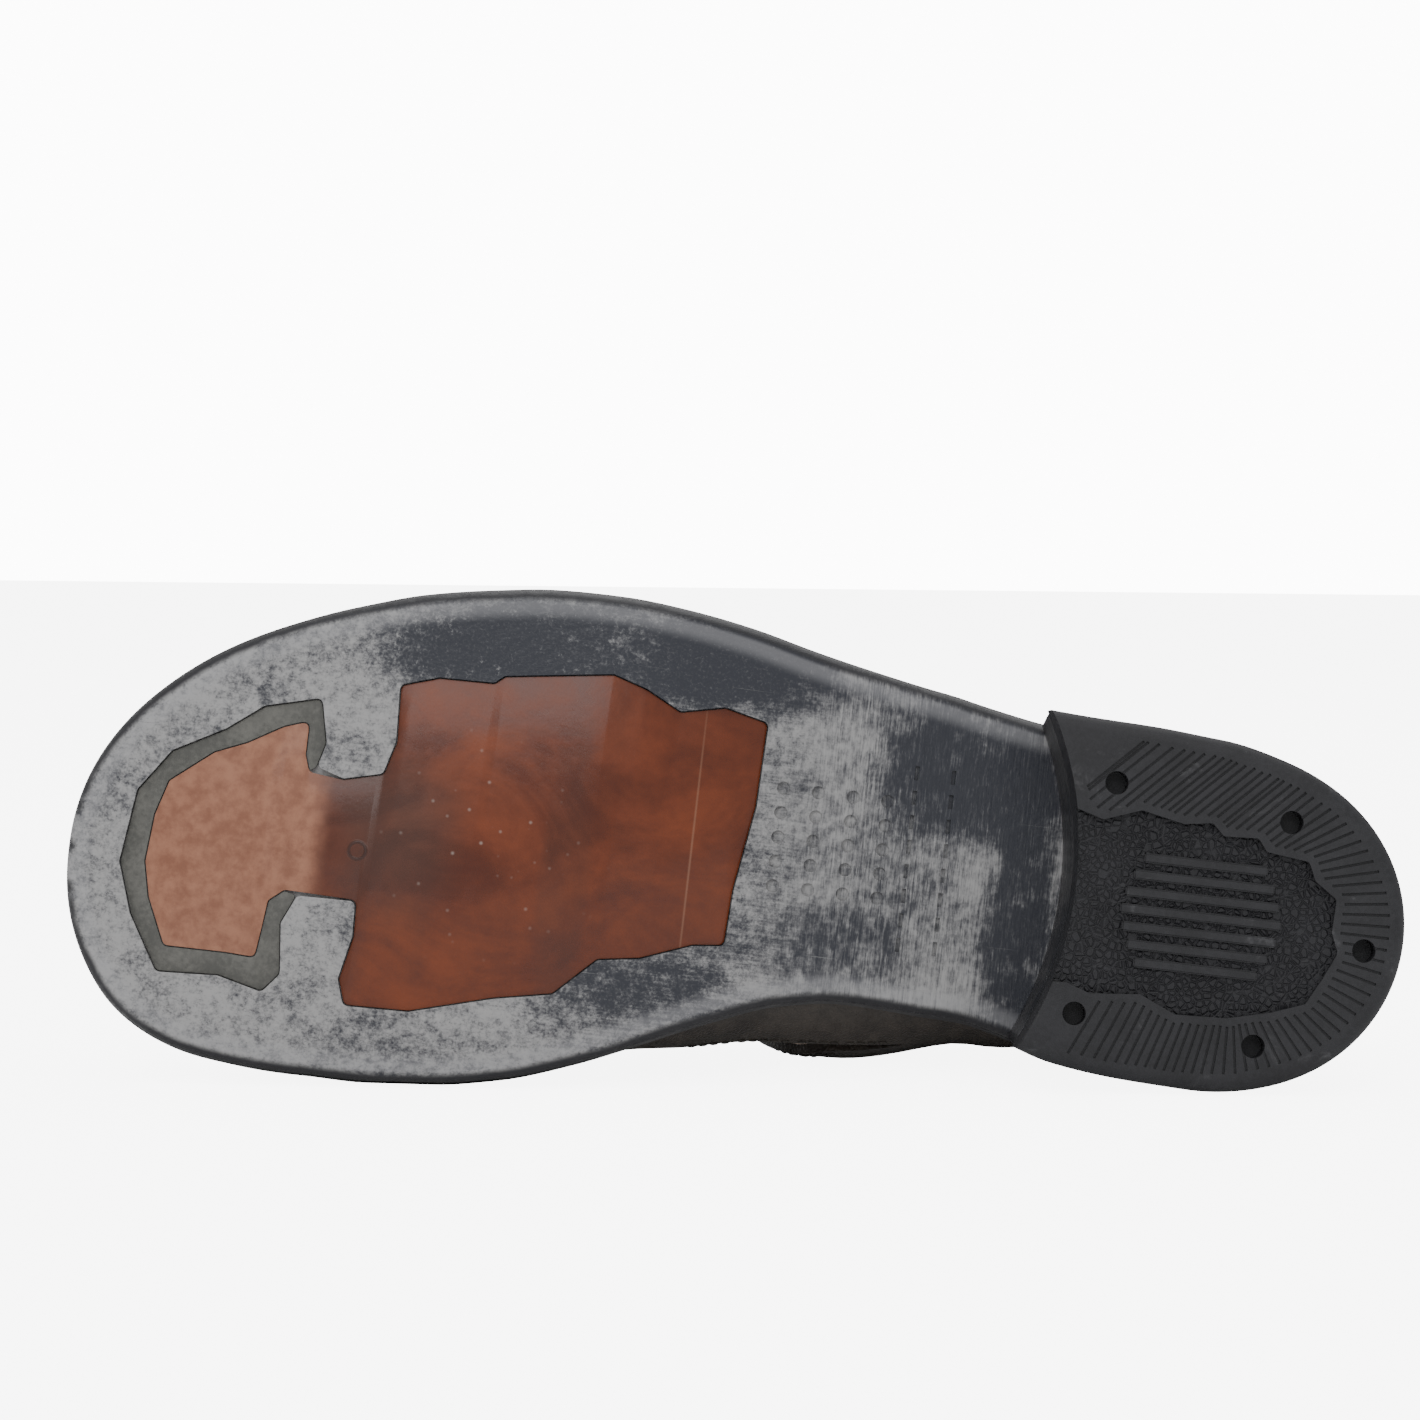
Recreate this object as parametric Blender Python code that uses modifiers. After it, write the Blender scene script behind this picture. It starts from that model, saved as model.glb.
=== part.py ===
"""Left low slip-on shoe with elastic side gussets, lying on its inner side.

The shoe is worked out upright: x runs forward from the back of the heel, y towards the outer side,
z up from the ground. At the end the whole assembly is laid on the side that it rests on.
"""

import math

import bmesh
import bpy
from mathutils import Matrix, Vector

MM = 0.001

# Driving sizes
SOLE_LENGTH = 300 * MM
BALL_WIDTH = 111 * MM
WAIST_WIDTH = 76 * MM
HEEL_WIDTH = 79.5 * MM
HEEL_HEIGHT = 25 * MM
TOE_SPRING = 13 * MM
TOE_SWING = 13.2 * MM
FIT_GAP = 0.3 * MM

OUTSOLE_THICKNESS = 5 * MM
OUTSOLE_EDGE_INSET = 0.7 * MM
OUTSOLE_ROUND_WIDTH = 2.6 * MM
OUTSOLE_ROUND_HEIGHT = 2.2 * MM
MIDSOLE_THICKNESS = 3 * MM
MIDSOLE_CHAMFER = 0.6 * MM
INLAY_DEPTH = 2 * MM
INLAY_SUNK = 0.7 * MM
INLAY_CORNER = 1.6 * MM

TOP_LIFT_THICKNESS = 8 * MM
TOP_LIFT_INSET = 0.3 * MM
TOP_LIFT_ROUND_WIDTH = 3 * MM
TOP_LIFT_ROUND_HEIGHT = 2.4 * MM
TOP_LIFT_RECESS = 1.5 * MM
RECESS_CORNER = 1.2 * MM
HEEL_BLOCK_INSET = 0.9 * MM
HEEL_FLARE = 3 * MM
BREAST_AT = 75.5 * MM
BREAST_RADIUS = 80 * MM
BREAST_AXIS_Y = 4 * MM
BREAST_SLOPE = 3
NAIL_HOLE_RADIUS = 2.6 * MM
NAIL_HOLE_DEPTH = 5 * MM

UPPER_WALL = 2.2 * MM
TOE_MARGIN = 7.5 * MM
SIDE_MARGIN = 5.5 * MM
HEEL_MARGIN = 4.5 * MM
ANKLE_RISE = 96 * MM
INSTEP_RISE = 78 * MM
BALL_RISE = 46 * MM
TOE_RISE = 27 * MM
TOE_DEPTH = 34 * MM
TOE_BULGE = 3 * MM
COUNTER_BULGE = 3.5 * MM
COUNTER_LEAN = 30 * MM
ARCH_BULGE = 19 * MM
WALL_BULGE = 3 * MM
INSTEP_SHIFT = 5 * MM

GUSSET_THICKNESS = 1.2 * MM
GUSSET_LAP = 6 * MM
GUSSET_GAP = 0.5 * MM
INSOLE_THICKNESS = 3 * MM
INSOLE_GAP = 0.6 * MM

# Places along the shoe, as shares of the sole's length
HEEL_ROUND_TO = 0.15
TOE_ROUND_FROM = 0.78
TOE_ROUNDNESS = 2.2
HEEL_PLATES_TO = 0.36
COLLAR_STRAIGHT_TO = 0.36
THROAT_AT = 0.58

# How finely the curved forms are divided
SOLE_STEPS = 36
HEEL_STEPS = 16
COLLAR_STEPS = 11
THROAT_STEPS = 9
VAMP_STEPS = 14
WALL_STEPS = 12
GUSSET_STEPS = 10
CORNER_STEPS = 2
BREAST_SIDES = 128
HOLE_SIDES = 16

# Sole outline: the width that each row follows, and the reach to the outer and the inner side as shares
# of that width, before the two ends are rounded off
OUTLINE = (
    # station, width, outer, inner
    (0.00, HEEL_WIDTH, 0.503, 0.516),
    (0.10, HEEL_WIDTH, 0.491, 0.493),
    (0.15, HEEL_WIDTH, 0.504, 0.487),
    (0.20, HEEL_WIDTH, 0.519, 0.479),
    (0.25, HEEL_WIDTH, 0.526, 0.457),
    (0.31, WAIST_WIDTH, 0.567, 0.407),
    (0.35, WAIST_WIDTH, 0.586, 0.389),
    (0.40, WAIST_WIDTH, 0.618, 0.380),
    (0.45, WAIST_WIDTH, 0.655, 0.408),
    (0.50, BALL_WIDTH, 0.478, 0.327),
    (0.55, BALL_WIDTH, 0.499, 0.384),
    (0.60, BALL_WIDTH, 0.513, 0.437),
    (0.65, BALL_WIDTH, 0.517, 0.475),
    (0.70, BALL_WIDTH, 0.509, 0.491),
    (0.75, BALL_WIDTH, 0.495, 0.492),
    (0.80, BALL_WIDTH, 0.469, 0.481),
    (0.85, BALL_WIDTH, 0.449, 0.478),
    (0.90, BALL_WIDTH, 0.438, 0.485),
    (0.95, BALL_WIDTH, 0.430, 0.490),
    (1.00, BALL_WIDTH, 0.428, 0.460),
)

# Height of the outsole's underside over the ground
TREAD = (
    # station, size, share
    (0.00, HEEL_HEIGHT, 1.00),
    (0.25, HEEL_HEIGHT, 0.94),
    (0.33, HEEL_HEIGHT, 0.84),
    (0.42, HEEL_HEIGHT, 0.56),
    (0.50, HEEL_HEIGHT, 0.26),
    (0.58, HEEL_HEIGHT, 0.04),
    (0.63, HEEL_HEIGHT, 0.00),
    (0.72, TOE_SPRING, 0.00),
    (0.80, TOE_SPRING, 0.10),
    (0.88, TOE_SPRING, 0.36),
    (0.95, TOE_SPRING, 0.72),
    (1.00, TOE_SPRING, 1.00),
)

# Distance from the sole's outline in to the line where the upper meets it
FEATHER = (
    # station, margin
    (0.00, HEEL_MARGIN),
    (0.30, SIDE_MARGIN),
    (0.70, SIDE_MARGIN),
    (1.00, TOE_MARGIN),
)

# Distance that the sole's edge lies inside the heel's flared tread
FLARE = (
    # station, share
    (0.00, 1.00),
    (0.22, 0.90),
    (0.34, 0.00),
)

# Sections of the last: the height of its ridge over the seat, how boxy its arch is (2 is an ellipse), and
# how far the wall bulges past the feather line on the outer and the inner side
SECTIONS = (
    # station, height size, share, boxiness, outer bulge size, share, inner bulge size, share
    (0.00, ANKLE_RISE, 1.02, 2.1, WALL_BULGE, 0.5, WALL_BULGE, 0.3),
    (0.15, ANKLE_RISE, 1.01, 2.0, WALL_BULGE, 0.5, WALL_BULGE, 0.2),
    (0.30, ANKLE_RISE, 0.98, 2.1, WALL_BULGE, 0.5, ARCH_BULGE, 0.60),
    (0.40, ANKLE_RISE, 0.91, 2.2, WALL_BULGE, 0.6, ARCH_BULGE, 1.00),
    (0.50, INSTEP_RISE, 0.96, 2.1, WALL_BULGE, 0.8, ARCH_BULGE, 0.60),
    (0.60, INSTEP_RISE, 0.77, 2.1, WALL_BULGE, 1.0, WALL_BULGE, 1.2),
    (0.70, BALL_RISE, 1.00, 2.2, WALL_BULGE, 1.0, WALL_BULGE, 0.9),
    (0.80, BALL_RISE, 0.80, 2.3, WALL_BULGE, 0.8, WALL_BULGE, 0.8),
    (0.90, TOE_RISE, 0.94, 2.5, WALL_BULGE, 0.6, WALL_BULGE, 0.6),
    (1.00, TOE_RISE, 0.62, 2.6, WALL_BULGE, 0.5, WALL_BULGE, 0.5),
)

# How far the last's ridge lies towards the inner side
RIDGE = (
    # station, size, share
    (0.00, INSTEP_SHIFT, 0.0),
    (0.30, INSTEP_SHIFT, 0.1),
    (0.50, INSTEP_SHIFT, 0.8),
    (0.70, INSTEP_SHIFT, 1.1),
    (0.85, TOE_SWING, 0.60),
    (1.00, TOE_SWING, 1.00),
)

# Topline: how far up the section's arch the wall goes, behind the throat
TOPLINE = (
    # station, degrees
    (0.00, 35.0),
    (0.10, 31.0),
    (0.20, 27.0),
    (0.30, 25.0),
    (0.36, 25.0),
)

# Opening for a side gusset: at shares of the wall's height, where its rear and its front edge run
GUSSET = (
    # height share, rear station, front station
    (0.17, 0.385, 0.500),
    (0.20, 0.345, 0.525),
    (0.22, 0.350, 0.535),
    (0.25, 0.405, 0.545),
    (0.40, 0.432, 0.553),
    (0.66, 0.462, 0.560),
    (1.00, 0.482, 0.562),
    (1.15, 0.484, 0.562),
)

# Corners of the forefoot inlay, as shares of the sole's length and of the ball's width towards the outer
# side. The toe lobe has an outer edge and, inside its border band, an edge of its own; both run from the
# neck's outer corner round the toe to its inner corner. The main panel runs on from there, back to the neck.
TOE_EDGE = (
    # along, across
    (0.816, 0.094),
    (0.811, 0.144),
    (0.818, 0.232),
    (0.860, 0.204),
    (0.887, 0.150),
    (0.926, 0.095),
    (0.949, 0.009),
    (0.956, -0.138),
    (0.943, -0.239),
    (0.918, -0.348),
    (0.871, -0.341),
    (0.837, -0.363),
    (0.825, -0.324),
    (0.829, -0.223),
    (0.819, -0.164),
)
TOE_LOBE = (
    # along, across
    (0.821, 0.084),
    (0.825, 0.117),
    (0.825, 0.185),
    (0.844, 0.168),
    (0.870, 0.128),
    (0.894, 0.102),
    (0.926, 0.035),
    (0.934, -0.036),
    (0.937, -0.132),
    (0.931, -0.203),
    (0.915, -0.296),
    (0.868, -0.295),
    (0.845, -0.298),
    (0.842, -0.234),
    (0.840, -0.182),
    (0.829, -0.158),
)
MAIN_PANEL = (
    # along, across
    (0.775, -0.162),
    (0.774, -0.234),
    (0.781, -0.320),
    (0.775, -0.371),
    (0.727, -0.368),
    (0.666, -0.323),
    (0.623, -0.301),
    (0.593, -0.223),
    (0.562, -0.211),
    (0.524, -0.173),
    (0.501, -0.167),
    (0.499, -0.054),
    (0.489, 0.117),
    (0.487, 0.288),
    (0.520, 0.308),
    (0.553, 0.288),
    (0.580, 0.325),
    (0.605, 0.346),
    (0.685, 0.317),
    (0.692, 0.301),
    (0.733, 0.299),
    (0.761, 0.276),
    (0.759, 0.162),
    (0.766, 0.095),
    (0.795, 0.076),
)

# Corners of the recess in the heel, from its outer end at the breast round the back to its inner end, as
# shares of the sole's length and of the heel's width. It runs out through the breast.
HEEL_RECESS = (
    # along, across
    (0.307, 0.258),
    (0.255, 0.264),
    (0.233, 0.239),
    (0.205, 0.277),
    (0.173, 0.252),
    (0.152, 0.264),
    (0.143, 0.231),
    (0.117, 0.236),
    (0.110, 0.201),
    (0.078, 0.187),
    (0.072, 0.136),
    (0.055, 0.091),
    (0.056, 0.000),
    (0.050, -0.057),
    (0.059, -0.131),
    (0.070, -0.208),
    (0.095, -0.243),
    (0.127, -0.272),
    (0.165, -0.278),
    (0.192, -0.233),
    (0.229, -0.247),
    (0.247, -0.224),
    (0.307, -0.231),
)
NAIL_HOLES = (
    # along, across
    (0.226, 0.345),
    (0.094, 0.291),
    (0.031, -0.042),
    (0.105, -0.341),
    (0.239, -0.307),
)

# Each part's look
FINISHES = (
    # material, colour, roughness
    ("brown_leather", (0.060, 0.052, 0.046, 1), 0.45),
    ("black_elastic", (0.012, 0.012, 0.013, 1), 0.85),
    ("worn_grey_sole", (0.160, 0.165, 0.180, 1), 0.60),
    ("black_edge", (0.025, 0.026, 0.030, 1), 0.40),
    ("amber_inlay", (0.190, 0.055, 0.022, 1), 0.25),
    ("olive_border", (0.075, 0.075, 0.068, 1), 0.60),
    ("heel_rubber", (0.032, 0.032, 0.037, 1), 0.65),
    ("tan_insole", (0.230, 0.150, 0.090, 1), 0.70),
)


def clear_scene():
    for old in list(bpy.data.objects):
        bpy.data.objects.remove(old)


def new_collection(name):
    made = bpy.data.collections.new(name)
    bpy.context.scene.collection.children.link(made)
    return made


def make_finish(name, colour, roughness):
    made = bpy.data.materials.new(name)
    made.use_nodes = True
    shader = made.node_tree.nodes["Principled BSDF"]
    shader.inputs["Base Color"].default_value = colour
    shader.inputs["Roughness"].default_value = roughness
    shader.inputs["Metallic"].default_value = 0.0
    return made


def smooth(rows, at):
    """Value of (place, value) rows at a place, on a cubic through them that adds no humps between rows."""
    places = [row[0] for row in rows]
    values = [row[1] for row in rows]
    if at <= places[0]:
        return values[0]
    if at >= places[-1]:
        return values[-1]
    widths = [after - before for before, after in zip(places, places[1:])]
    slopes = [(b - a) / width for a, b, width in zip(values, values[1:], widths)]
    tangents = [slopes[0]]
    for before, after in zip(slopes, slopes[1:]):
        same_way = before * after > 0
        tangents.append(2 * before * after / (before + after) if same_way else 0.0)
    tangents.append(slopes[-1])
    i = max(k for k in range(len(widths)) if places[k] <= at)
    t = (at - places[i]) / widths[i]
    return (
        (1 + 2 * t) * (1 - t) ** 2 * values[i]
        + t * (1 - t) ** 2 * widths[i] * tangents[i]
        + t * t * (3 - 2 * t) * values[i + 1]
        + t * t * (t - 1) * widths[i] * tangents[i + 1]
    )


OUTER_REACH = [(station, width * outer) for station, width, outer, _ in OUTLINE]
INNER_REACH = [(station, width * inner) for station, width, _, inner in OUTLINE]
TREAD_HEIGHT = [(station, size * share) for station, size, share in TREAD]
RISE = [(row[0], row[1] * row[2]) for row in SECTIONS]
BOXINESS = [(row[0], row[3]) for row in SECTIONS]
OUTER_BULGE = [(row[0], row[4] * row[5]) for row in SECTIONS]
INNER_BULGE = [(row[0], row[6] * row[7]) for row in SECTIONS]
RIDGE_PLACE = [(station, -size * share) for station, size, share in RIDGE]
GUSSET_REAR = [(share, rear) for share, rear, _ in GUSSET]
GUSSET_FRONT = [(share, front) for share, _, front in GUSSET]


def end_rounding(station):
    """Share of the full reach that the rounded heel and toe leave at a station."""
    if station < HEEL_ROUND_TO:
        return math.sqrt(max(0.0, 1 - (1 - station / HEEL_ROUND_TO) ** 2))
    past = max(0.0, (station - TOE_ROUND_FROM) / (1 - TOE_ROUND_FROM))
    return max(0.0, 1 - past**TOE_ROUNDNESS) ** (1 / TOE_ROUNDNESS)


def middle(station):
    """The line that the sides are measured from: straight behind, swung to the inner side at the toe."""
    return -TOE_SWING * max(0.0, 2 * station - 1) ** 2


def reach(station, side):
    return smooth(OUTER_REACH if side > 0 else INNER_REACH, station)


def edge_point(station, side, inset, feather=0.0, flare=0.0):
    """Plan point of the sole's outline, drawn in by an inset and by shares of other margins.

    side is 1 on the outer side and -1 on the inner side. feather draws it in to the line of the upper,
    and flare undoes the flare of the heel's tread.
    """
    heel = inset + HEEL_MARGIN * feather + HEEL_FLARE * flare
    toe = inset + TOE_MARGIN * feather
    margin = inset + smooth(FEATHER, station) * feather + smooth(FLARE, station) * HEEL_FLARE * flare
    along = heel + (SOLE_LENGTH - heel - toe) * station
    return along, middle(station) + side * end_rounding(station) * (reach(station, side) - margin)


def tread_height(along):
    return smooth(TREAD_HEIGHT, along / SOLE_LENGTH)


def outsole_top(along):
    return tread_height(along) + OUTSOLE_THICKNESS


def seat_height(along):
    """Top of the midsole, which the upper and the insole rest on."""
    return outsole_top(along) + FIT_GAP + MIDSOLE_THICKNESS


def cosine_stations(steps, last=1.0):
    """Stations from 0 to last, closer together at the rounded ends."""
    if last < 1.0:
        return [last * (1 - math.cos(math.pi / 2 * i / steps)) for i in range(steps + 1)]
    return [(1 - math.cos(math.pi * i / steps)) / 2 for i in range(steps + 1)]


def mesh_from(name, points, faces, closed=True):
    """A mesh of hand-built faces. Corners that coincide are joined, and a closed form is faced outwards."""
    mesh = bpy.data.meshes.new(name)
    mesh.from_pydata(points, [], faces)
    work = bmesh.new()
    work.from_mesh(mesh)
    bmesh.ops.remove_doubles(work, verts=work.verts, dist=0.002 * MM)
    if closed:
        bmesh.ops.recalc_face_normals(work, faces=work.faces)
    work.to_mesh(mesh)
    work.free()
    return mesh


def add_object(name, mesh, collection, finish=None):
    made = bpy.data.objects.new(name, mesh)
    collection.objects.link(made)
    if finish:
        mesh.materials.append(finish)
    else:
        made.hide_render = True
        made.display_type = "WIRE"
    return made


def cut(target, cutter, operation="DIFFERENCE"):
    """Takes the cutter's form out of the target, or with INTERSECT keeps only what lies inside it."""
    modifier = target.modifiers.new("cut_by_" + cutter.name, "BOOLEAN")
    modifier.operation = operation
    modifier.object = cutter


def plate(name, levels, stations, feather=0.0):
    """Mesh with the sole's outline. Each level is (inset, flare share undone, height function), upwards.

    The two sides of a level have the same places along the shoe, so that the rungs of both caps are flat.
    """
    closed_toe = stations[-1] == 1.0
    last = len(stations) - 1
    points = []
    rings = []
    for inset, flare, height in levels:
        ring = []
        outer = [(station, 1) for station in stations]
        inner = [(station, -1) for station in reversed(stations) if 0.0 < station < 1.0]
        for station, side in outer + inner:
            along, across = edge_point(station, side, inset, feather, flare)
            ring.append(len(points))
            points.append((along, across, height(along)))
        rings.append(ring)
    count = len(rings[0])
    faces = []
    for below, above in zip(rings, rings[1:]):
        for i in range(count):
            j = (i + 1) % count
            faces.append((below[i], below[j], above[j], above[i]))
    for ring in (rings[0], rings[-1]):
        for i in range(last):
            rung = [ring[i], ring[i + 1]]
            if not (closed_toe and i == last - 1):
                rung.append(ring[count - i - 1])
            if i > 0:
                rung.append(ring[count - i])
            faces.append(rung)
    return mesh_from(name, points, faces)


def rounded(corners, radius):
    """Outline through the corners, each rounded as far as its neighbours leave room."""
    outline = []
    for i, corner in enumerate(corners):
        here = Vector(corner)
        back = Vector(corners[i - 1]) - here
        ahead = Vector(corners[(i + 1) % len(corners)]) - here
        turn = math.pi - back.angle(ahead)
        room = 0.45 * min(back.length, ahead.length)
        cut_back = min(radius * math.tan(turn / 2), room)
        start = here + back.normalized() * cut_back
        end = here + ahead.normalized() * cut_back
        for k in range(CORNER_STEPS + 1):
            t = k / CORNER_STEPS
            outline.append((1 - t) ** 2 * start + 2 * t * (1 - t) * here + t * t * end)
    return outline


def grown(outline, distance):
    """The outline moved outwards by the distance, or inwards where it is negative."""
    area = sum(a.cross(b) for a, b in zip(outline, outline[1:] + outline[:1]))
    outward = math.copysign(1, area) * distance
    moved = []
    for i, point in enumerate(outline):
        along = (outline[(i + 1) % len(outline)] - outline[i - 1]).normalized()
        moved.append(Vector((point.x + along.y * outward, point.y - along.x * outward)))
    return moved


def stepped(height, rungs):
    """The height function drawn straight from rung to rung, as a plate's flat facets run."""
    heights = [height(rung) for rung in rungs]

    def value(along):
        i = max([k for k in range(len(rungs) - 1) if rungs[k] <= along], default=0)
        t = (along - rungs[i]) / (rungs[i + 1] - rungs[i])
        return heights[i] + (heights[i + 1] - heights[i]) * t

    return value


def prism(name, outline, lower, upper, rungs=()):
    """Mesh of an upright prism, cut across at the rungs so that its caps can follow the height functions."""
    work = bmesh.new()
    work.faces.new([work.verts.new((point.x, point.y, 0)) for point in outline])
    for rung in rungs:
        bmesh.ops.bisect_plane(
            work,
            geom=work.verts[:] + work.edges[:] + work.faces[:],
            dist=0.001 * MM,
            plane_co=(rung, 0, 0),
            plane_no=(1, 0, 0),
        )
    made = bmesh.ops.extrude_face_region(work, geom=work.faces[:])
    raised = {item for item in made["geom"] if isinstance(item, bmesh.types.BMVert)}
    for vertex in work.verts:
        height = upper if vertex in raised else lower
        vertex.co.z = height(vertex.co.x)
    bmesh.ops.recalc_face_normals(work, faces=work.faces)
    mesh = bpy.data.meshes.new(name)
    work.to_mesh(mesh)
    work.free()
    return mesh


def corners(rows, width):
    return [(along * SOLE_LENGTH, across * width) for along, across in rows]


def swell(share):
    """Bulge of the wall: none at the feather line, full at a fifth of the arch, none at the ridge."""
    return math.sin(math.pi * share**0.42)


def last_point(station, side, turn):
    """Point of the last's surface. turn is the angle up the section's arch, a right angle at the ridge."""
    along, foot = edge_point(station, side, 0.0, feather=1.0, flare=1.0)
    half = abs(foot - middle(station))
    power = 2 / smooth(BOXINESS, station)
    width_share = max(0.0, math.cos(turn)) ** power
    height_share = math.sin(turn) ** power
    share = turn / (math.pi / 2)
    bulge = smooth(OUTER_BULGE if side > 0 else INNER_BULGE, station) * end_rounding(station)
    centre = middle(station) + (smooth(RIDGE_PLACE, station) - middle(station)) * height_share
    back = (COUNTER_LEAN * share**2 - COUNTER_BULGE * swell(share)) * (1 - station) ** 8
    front = (TOE_BULGE * swell(share) - TOE_DEPTH * (1 - math.cos(turn))) * station**6
    return Vector(
        (
            along + back + front,
            centre + side * (half * width_share + bulge * swell(share)),
            seat_height(along) + FIT_GAP + smooth(RISE, station) * height_share,
        )
    )


def last_normal(station, side, turn):
    """Outward direction of the last's surface."""
    step = 0.002
    along = last_point(station + step, side, turn) - last_point(station - step, side, turn)
    up = last_point(station, side, turn + step) - last_point(station, side, turn - step)
    return (up.cross(along) * side).normalized()


def topline_turn(station):
    """How far up the arch the wall goes: to the topline behind the throat, and to the ridge before it."""
    if station >= THROAT_AT:
        return math.pi / 2
    turn = math.radians(smooth(TOPLINE, station))
    past = max(0.0, (station - COLLAR_STRAIGHT_TO) / (THROAT_AT - COLLAR_STRAIGHT_TO))
    return math.acos(math.cos(turn) * math.sqrt(1 - past**2))


def upper_stations():
    """Stations closer together at the back, at the throat and at the toe, where the shape turns most."""
    straight, throat = COLLAR_STRAIGHT_TO, THROAT_AT
    quarter = math.pi / 2
    stations = [straight * (1 - math.cos(quarter * i / COLLAR_STEPS)) for i in range(COLLAR_STEPS)]
    for i in range(THROAT_STEPS):
        stations.append(straight + (throat - straight) * math.sin(quarter * i / THROAT_STEPS))
    for i in range(VAMP_STEPS + 1):
        stations.append(throat + (1 - throat) * math.sin(quarter * i / VAMP_STEPS))
    return stations


def wall_surface(name, sides, stations):
    """Open mesh of the last's surface from the feather line to the topline, faced outwards."""
    points = []
    faces = []
    row = WALL_STEPS + 1
    for side in sides:
        first = len(points)
        for station in stations:
            top = topline_turn(station)
            points += [last_point(station, side, top * k / WALL_STEPS) for k in range(row)]
        for i in range(len(stations) - 1):
            for k in range(WALL_STEPS):
                a = first + i * row + k
                patch = (a, a + row, a + row + 1, a + 1)
                faces.append(patch[::-1] if side > 0 else patch)
    return mesh_from(name, points, faces, closed=False)


def sink_surface(mesh, depth):
    """Moves an open surface inwards along its own normals, so that its facets stay parallel."""
    work = bmesh.new()
    work.from_mesh(mesh)
    work.normal_update()
    moves = [(vertex, vertex.normal * depth * vertex.calc_shell_factor()) for vertex in work.verts]
    for vertex, move in moves:
        vertex.co -= move
    work.to_mesh(mesh)
    work.free()


def thicken(target, thickness):
    shell = target.modifiers.new("wall", "SOLIDIFY")
    shell.thickness = thickness
    shell.offset = -1
    shell.use_even_offset = True


def gusset_form(name, side, lap, shallow, deep):
    """Curved slab over a gusset's opening, between two depths under the last's surface, widened by the lap."""
    lowest = GUSSET[0][0] - lap / (2 * BALL_RISE)
    highest = GUSSET[-1][0]
    widen = lap / SOLE_LENGTH
    count = GUSSET_STEPS + 1
    shares = [lowest + (highest - lowest) * (j / GUSSET_STEPS) ** 1.6 for j in range(count)]
    points = []
    for depth in (shallow, deep):
        for share in shares:
            rear = smooth(GUSSET_REAR, share) - widen
            front = min(smooth(GUSSET_FRONT, share) + widen, THROAT_AT - 0.004)
            for i in range(count):
                station = rear + (front - rear) * i / GUSSET_STEPS
                turn = min(share * topline_turn(station), math.radians(86))
                normal = last_normal(station, side, turn)
                points.append(last_point(station, side, turn) - normal * depth)
    layer = count * count
    faces = []
    for j in range(GUSSET_STEPS):
        for i in range(GUSSET_STEPS):
            a = j * count + i
            faces.append((a, a + 1, a + count + 1, a + count))
            faces.append((a + layer, a + layer + count, a + layer + count + 1, a + layer + 1))
    rim = [i for i in range(count)]
    rim += [j * count + GUSSET_STEPS for j in range(1, count)]
    rim += [GUSSET_STEPS * count + i for i in range(GUSSET_STEPS - 1, -1, -1)]
    rim += [j * count for j in range(GUSSET_STEPS - 1, 0, -1)]
    for a, b in zip(rim, rim[1:] + rim[:1]):
        faces.append((a, a + layer, b + layer, b))
    return mesh_from(name, points, faces)


def make_soles(parts, cutters, finish):
    """Outsole with the inlay and its border in a shallow recess, and the midsole over it."""
    stations = cosine_stations(SOLE_STEPS)
    edge, width, height = OUTSOLE_EDGE_INSET, OUTSOLE_ROUND_WIDTH, OUTSOLE_ROUND_HEIGHT
    outsole_levels = (
        (edge + width, 1.0, tread_height),
        (edge + 0.3 * width, 1.0, lambda along: tread_height(along) + 0.3 * height),
        (edge, 1.0, lambda along: tread_height(along) + height),
        (edge, 1.0, outsole_top),
    )
    outsole = add_object("outsole", plate("outsole", outsole_levels, stations), parts, finish["worn_grey_sole"])

    chamfer = MIDSOLE_CHAMFER
    midsole_levels = (
        (chamfer, 1.0, lambda along: outsole_top(along) + FIT_GAP),
        (0.0, 1.0, lambda along: outsole_top(along) + FIT_GAP + chamfer),
        (0.0, 1.0, lambda along: seat_height(along) - chamfer),
        (chamfer, 1.0, seat_height),
    )
    add_object("midsole", plate("midsole", midsole_levels, stations), parts, finish["black_edge"])

    rungs = [edge_point(station, 1, edge + width, flare=1.0)[0] for station in stations]
    tread = stepped(tread_height, rungs)
    toe_edge = corners(TOE_EDGE, BALL_WIDTH)
    toe_lobe = corners(TOE_LOBE, BALL_WIDTH)
    main_panel = corners(MAIN_PANEL, BALL_WIDTH)
    half_gap = FIT_GAP / 2

    def recess_floor(along):
        return tread(along) + INLAY_DEPTH

    def laid(name, outline, look):
        shape = prism(
            name,
            grown(rounded(outline, INLAY_CORNER), -half_gap),
            lambda along: tread(along) + INLAY_SUNK,
            lambda along: recess_floor(along) - FIT_GAP,
            rungs,
        )
        return add_object(name, shape, parts, finish[look])

    recess = prism(
        "inlay_recess",
        grown(rounded(toe_edge + main_panel, INLAY_CORNER), half_gap),
        lambda along: tread(along) - OUTSOLE_THICKNESS,
        recess_floor,
        rungs,
    )
    cut(outsole, add_object("inlay_recess", recess, cutters))
    laid("inlay", toe_lobe + main_panel, "amber_inlay")
    laid("inlay_border", toe_edge + toe_lobe[::-1], "olive_border")


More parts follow.
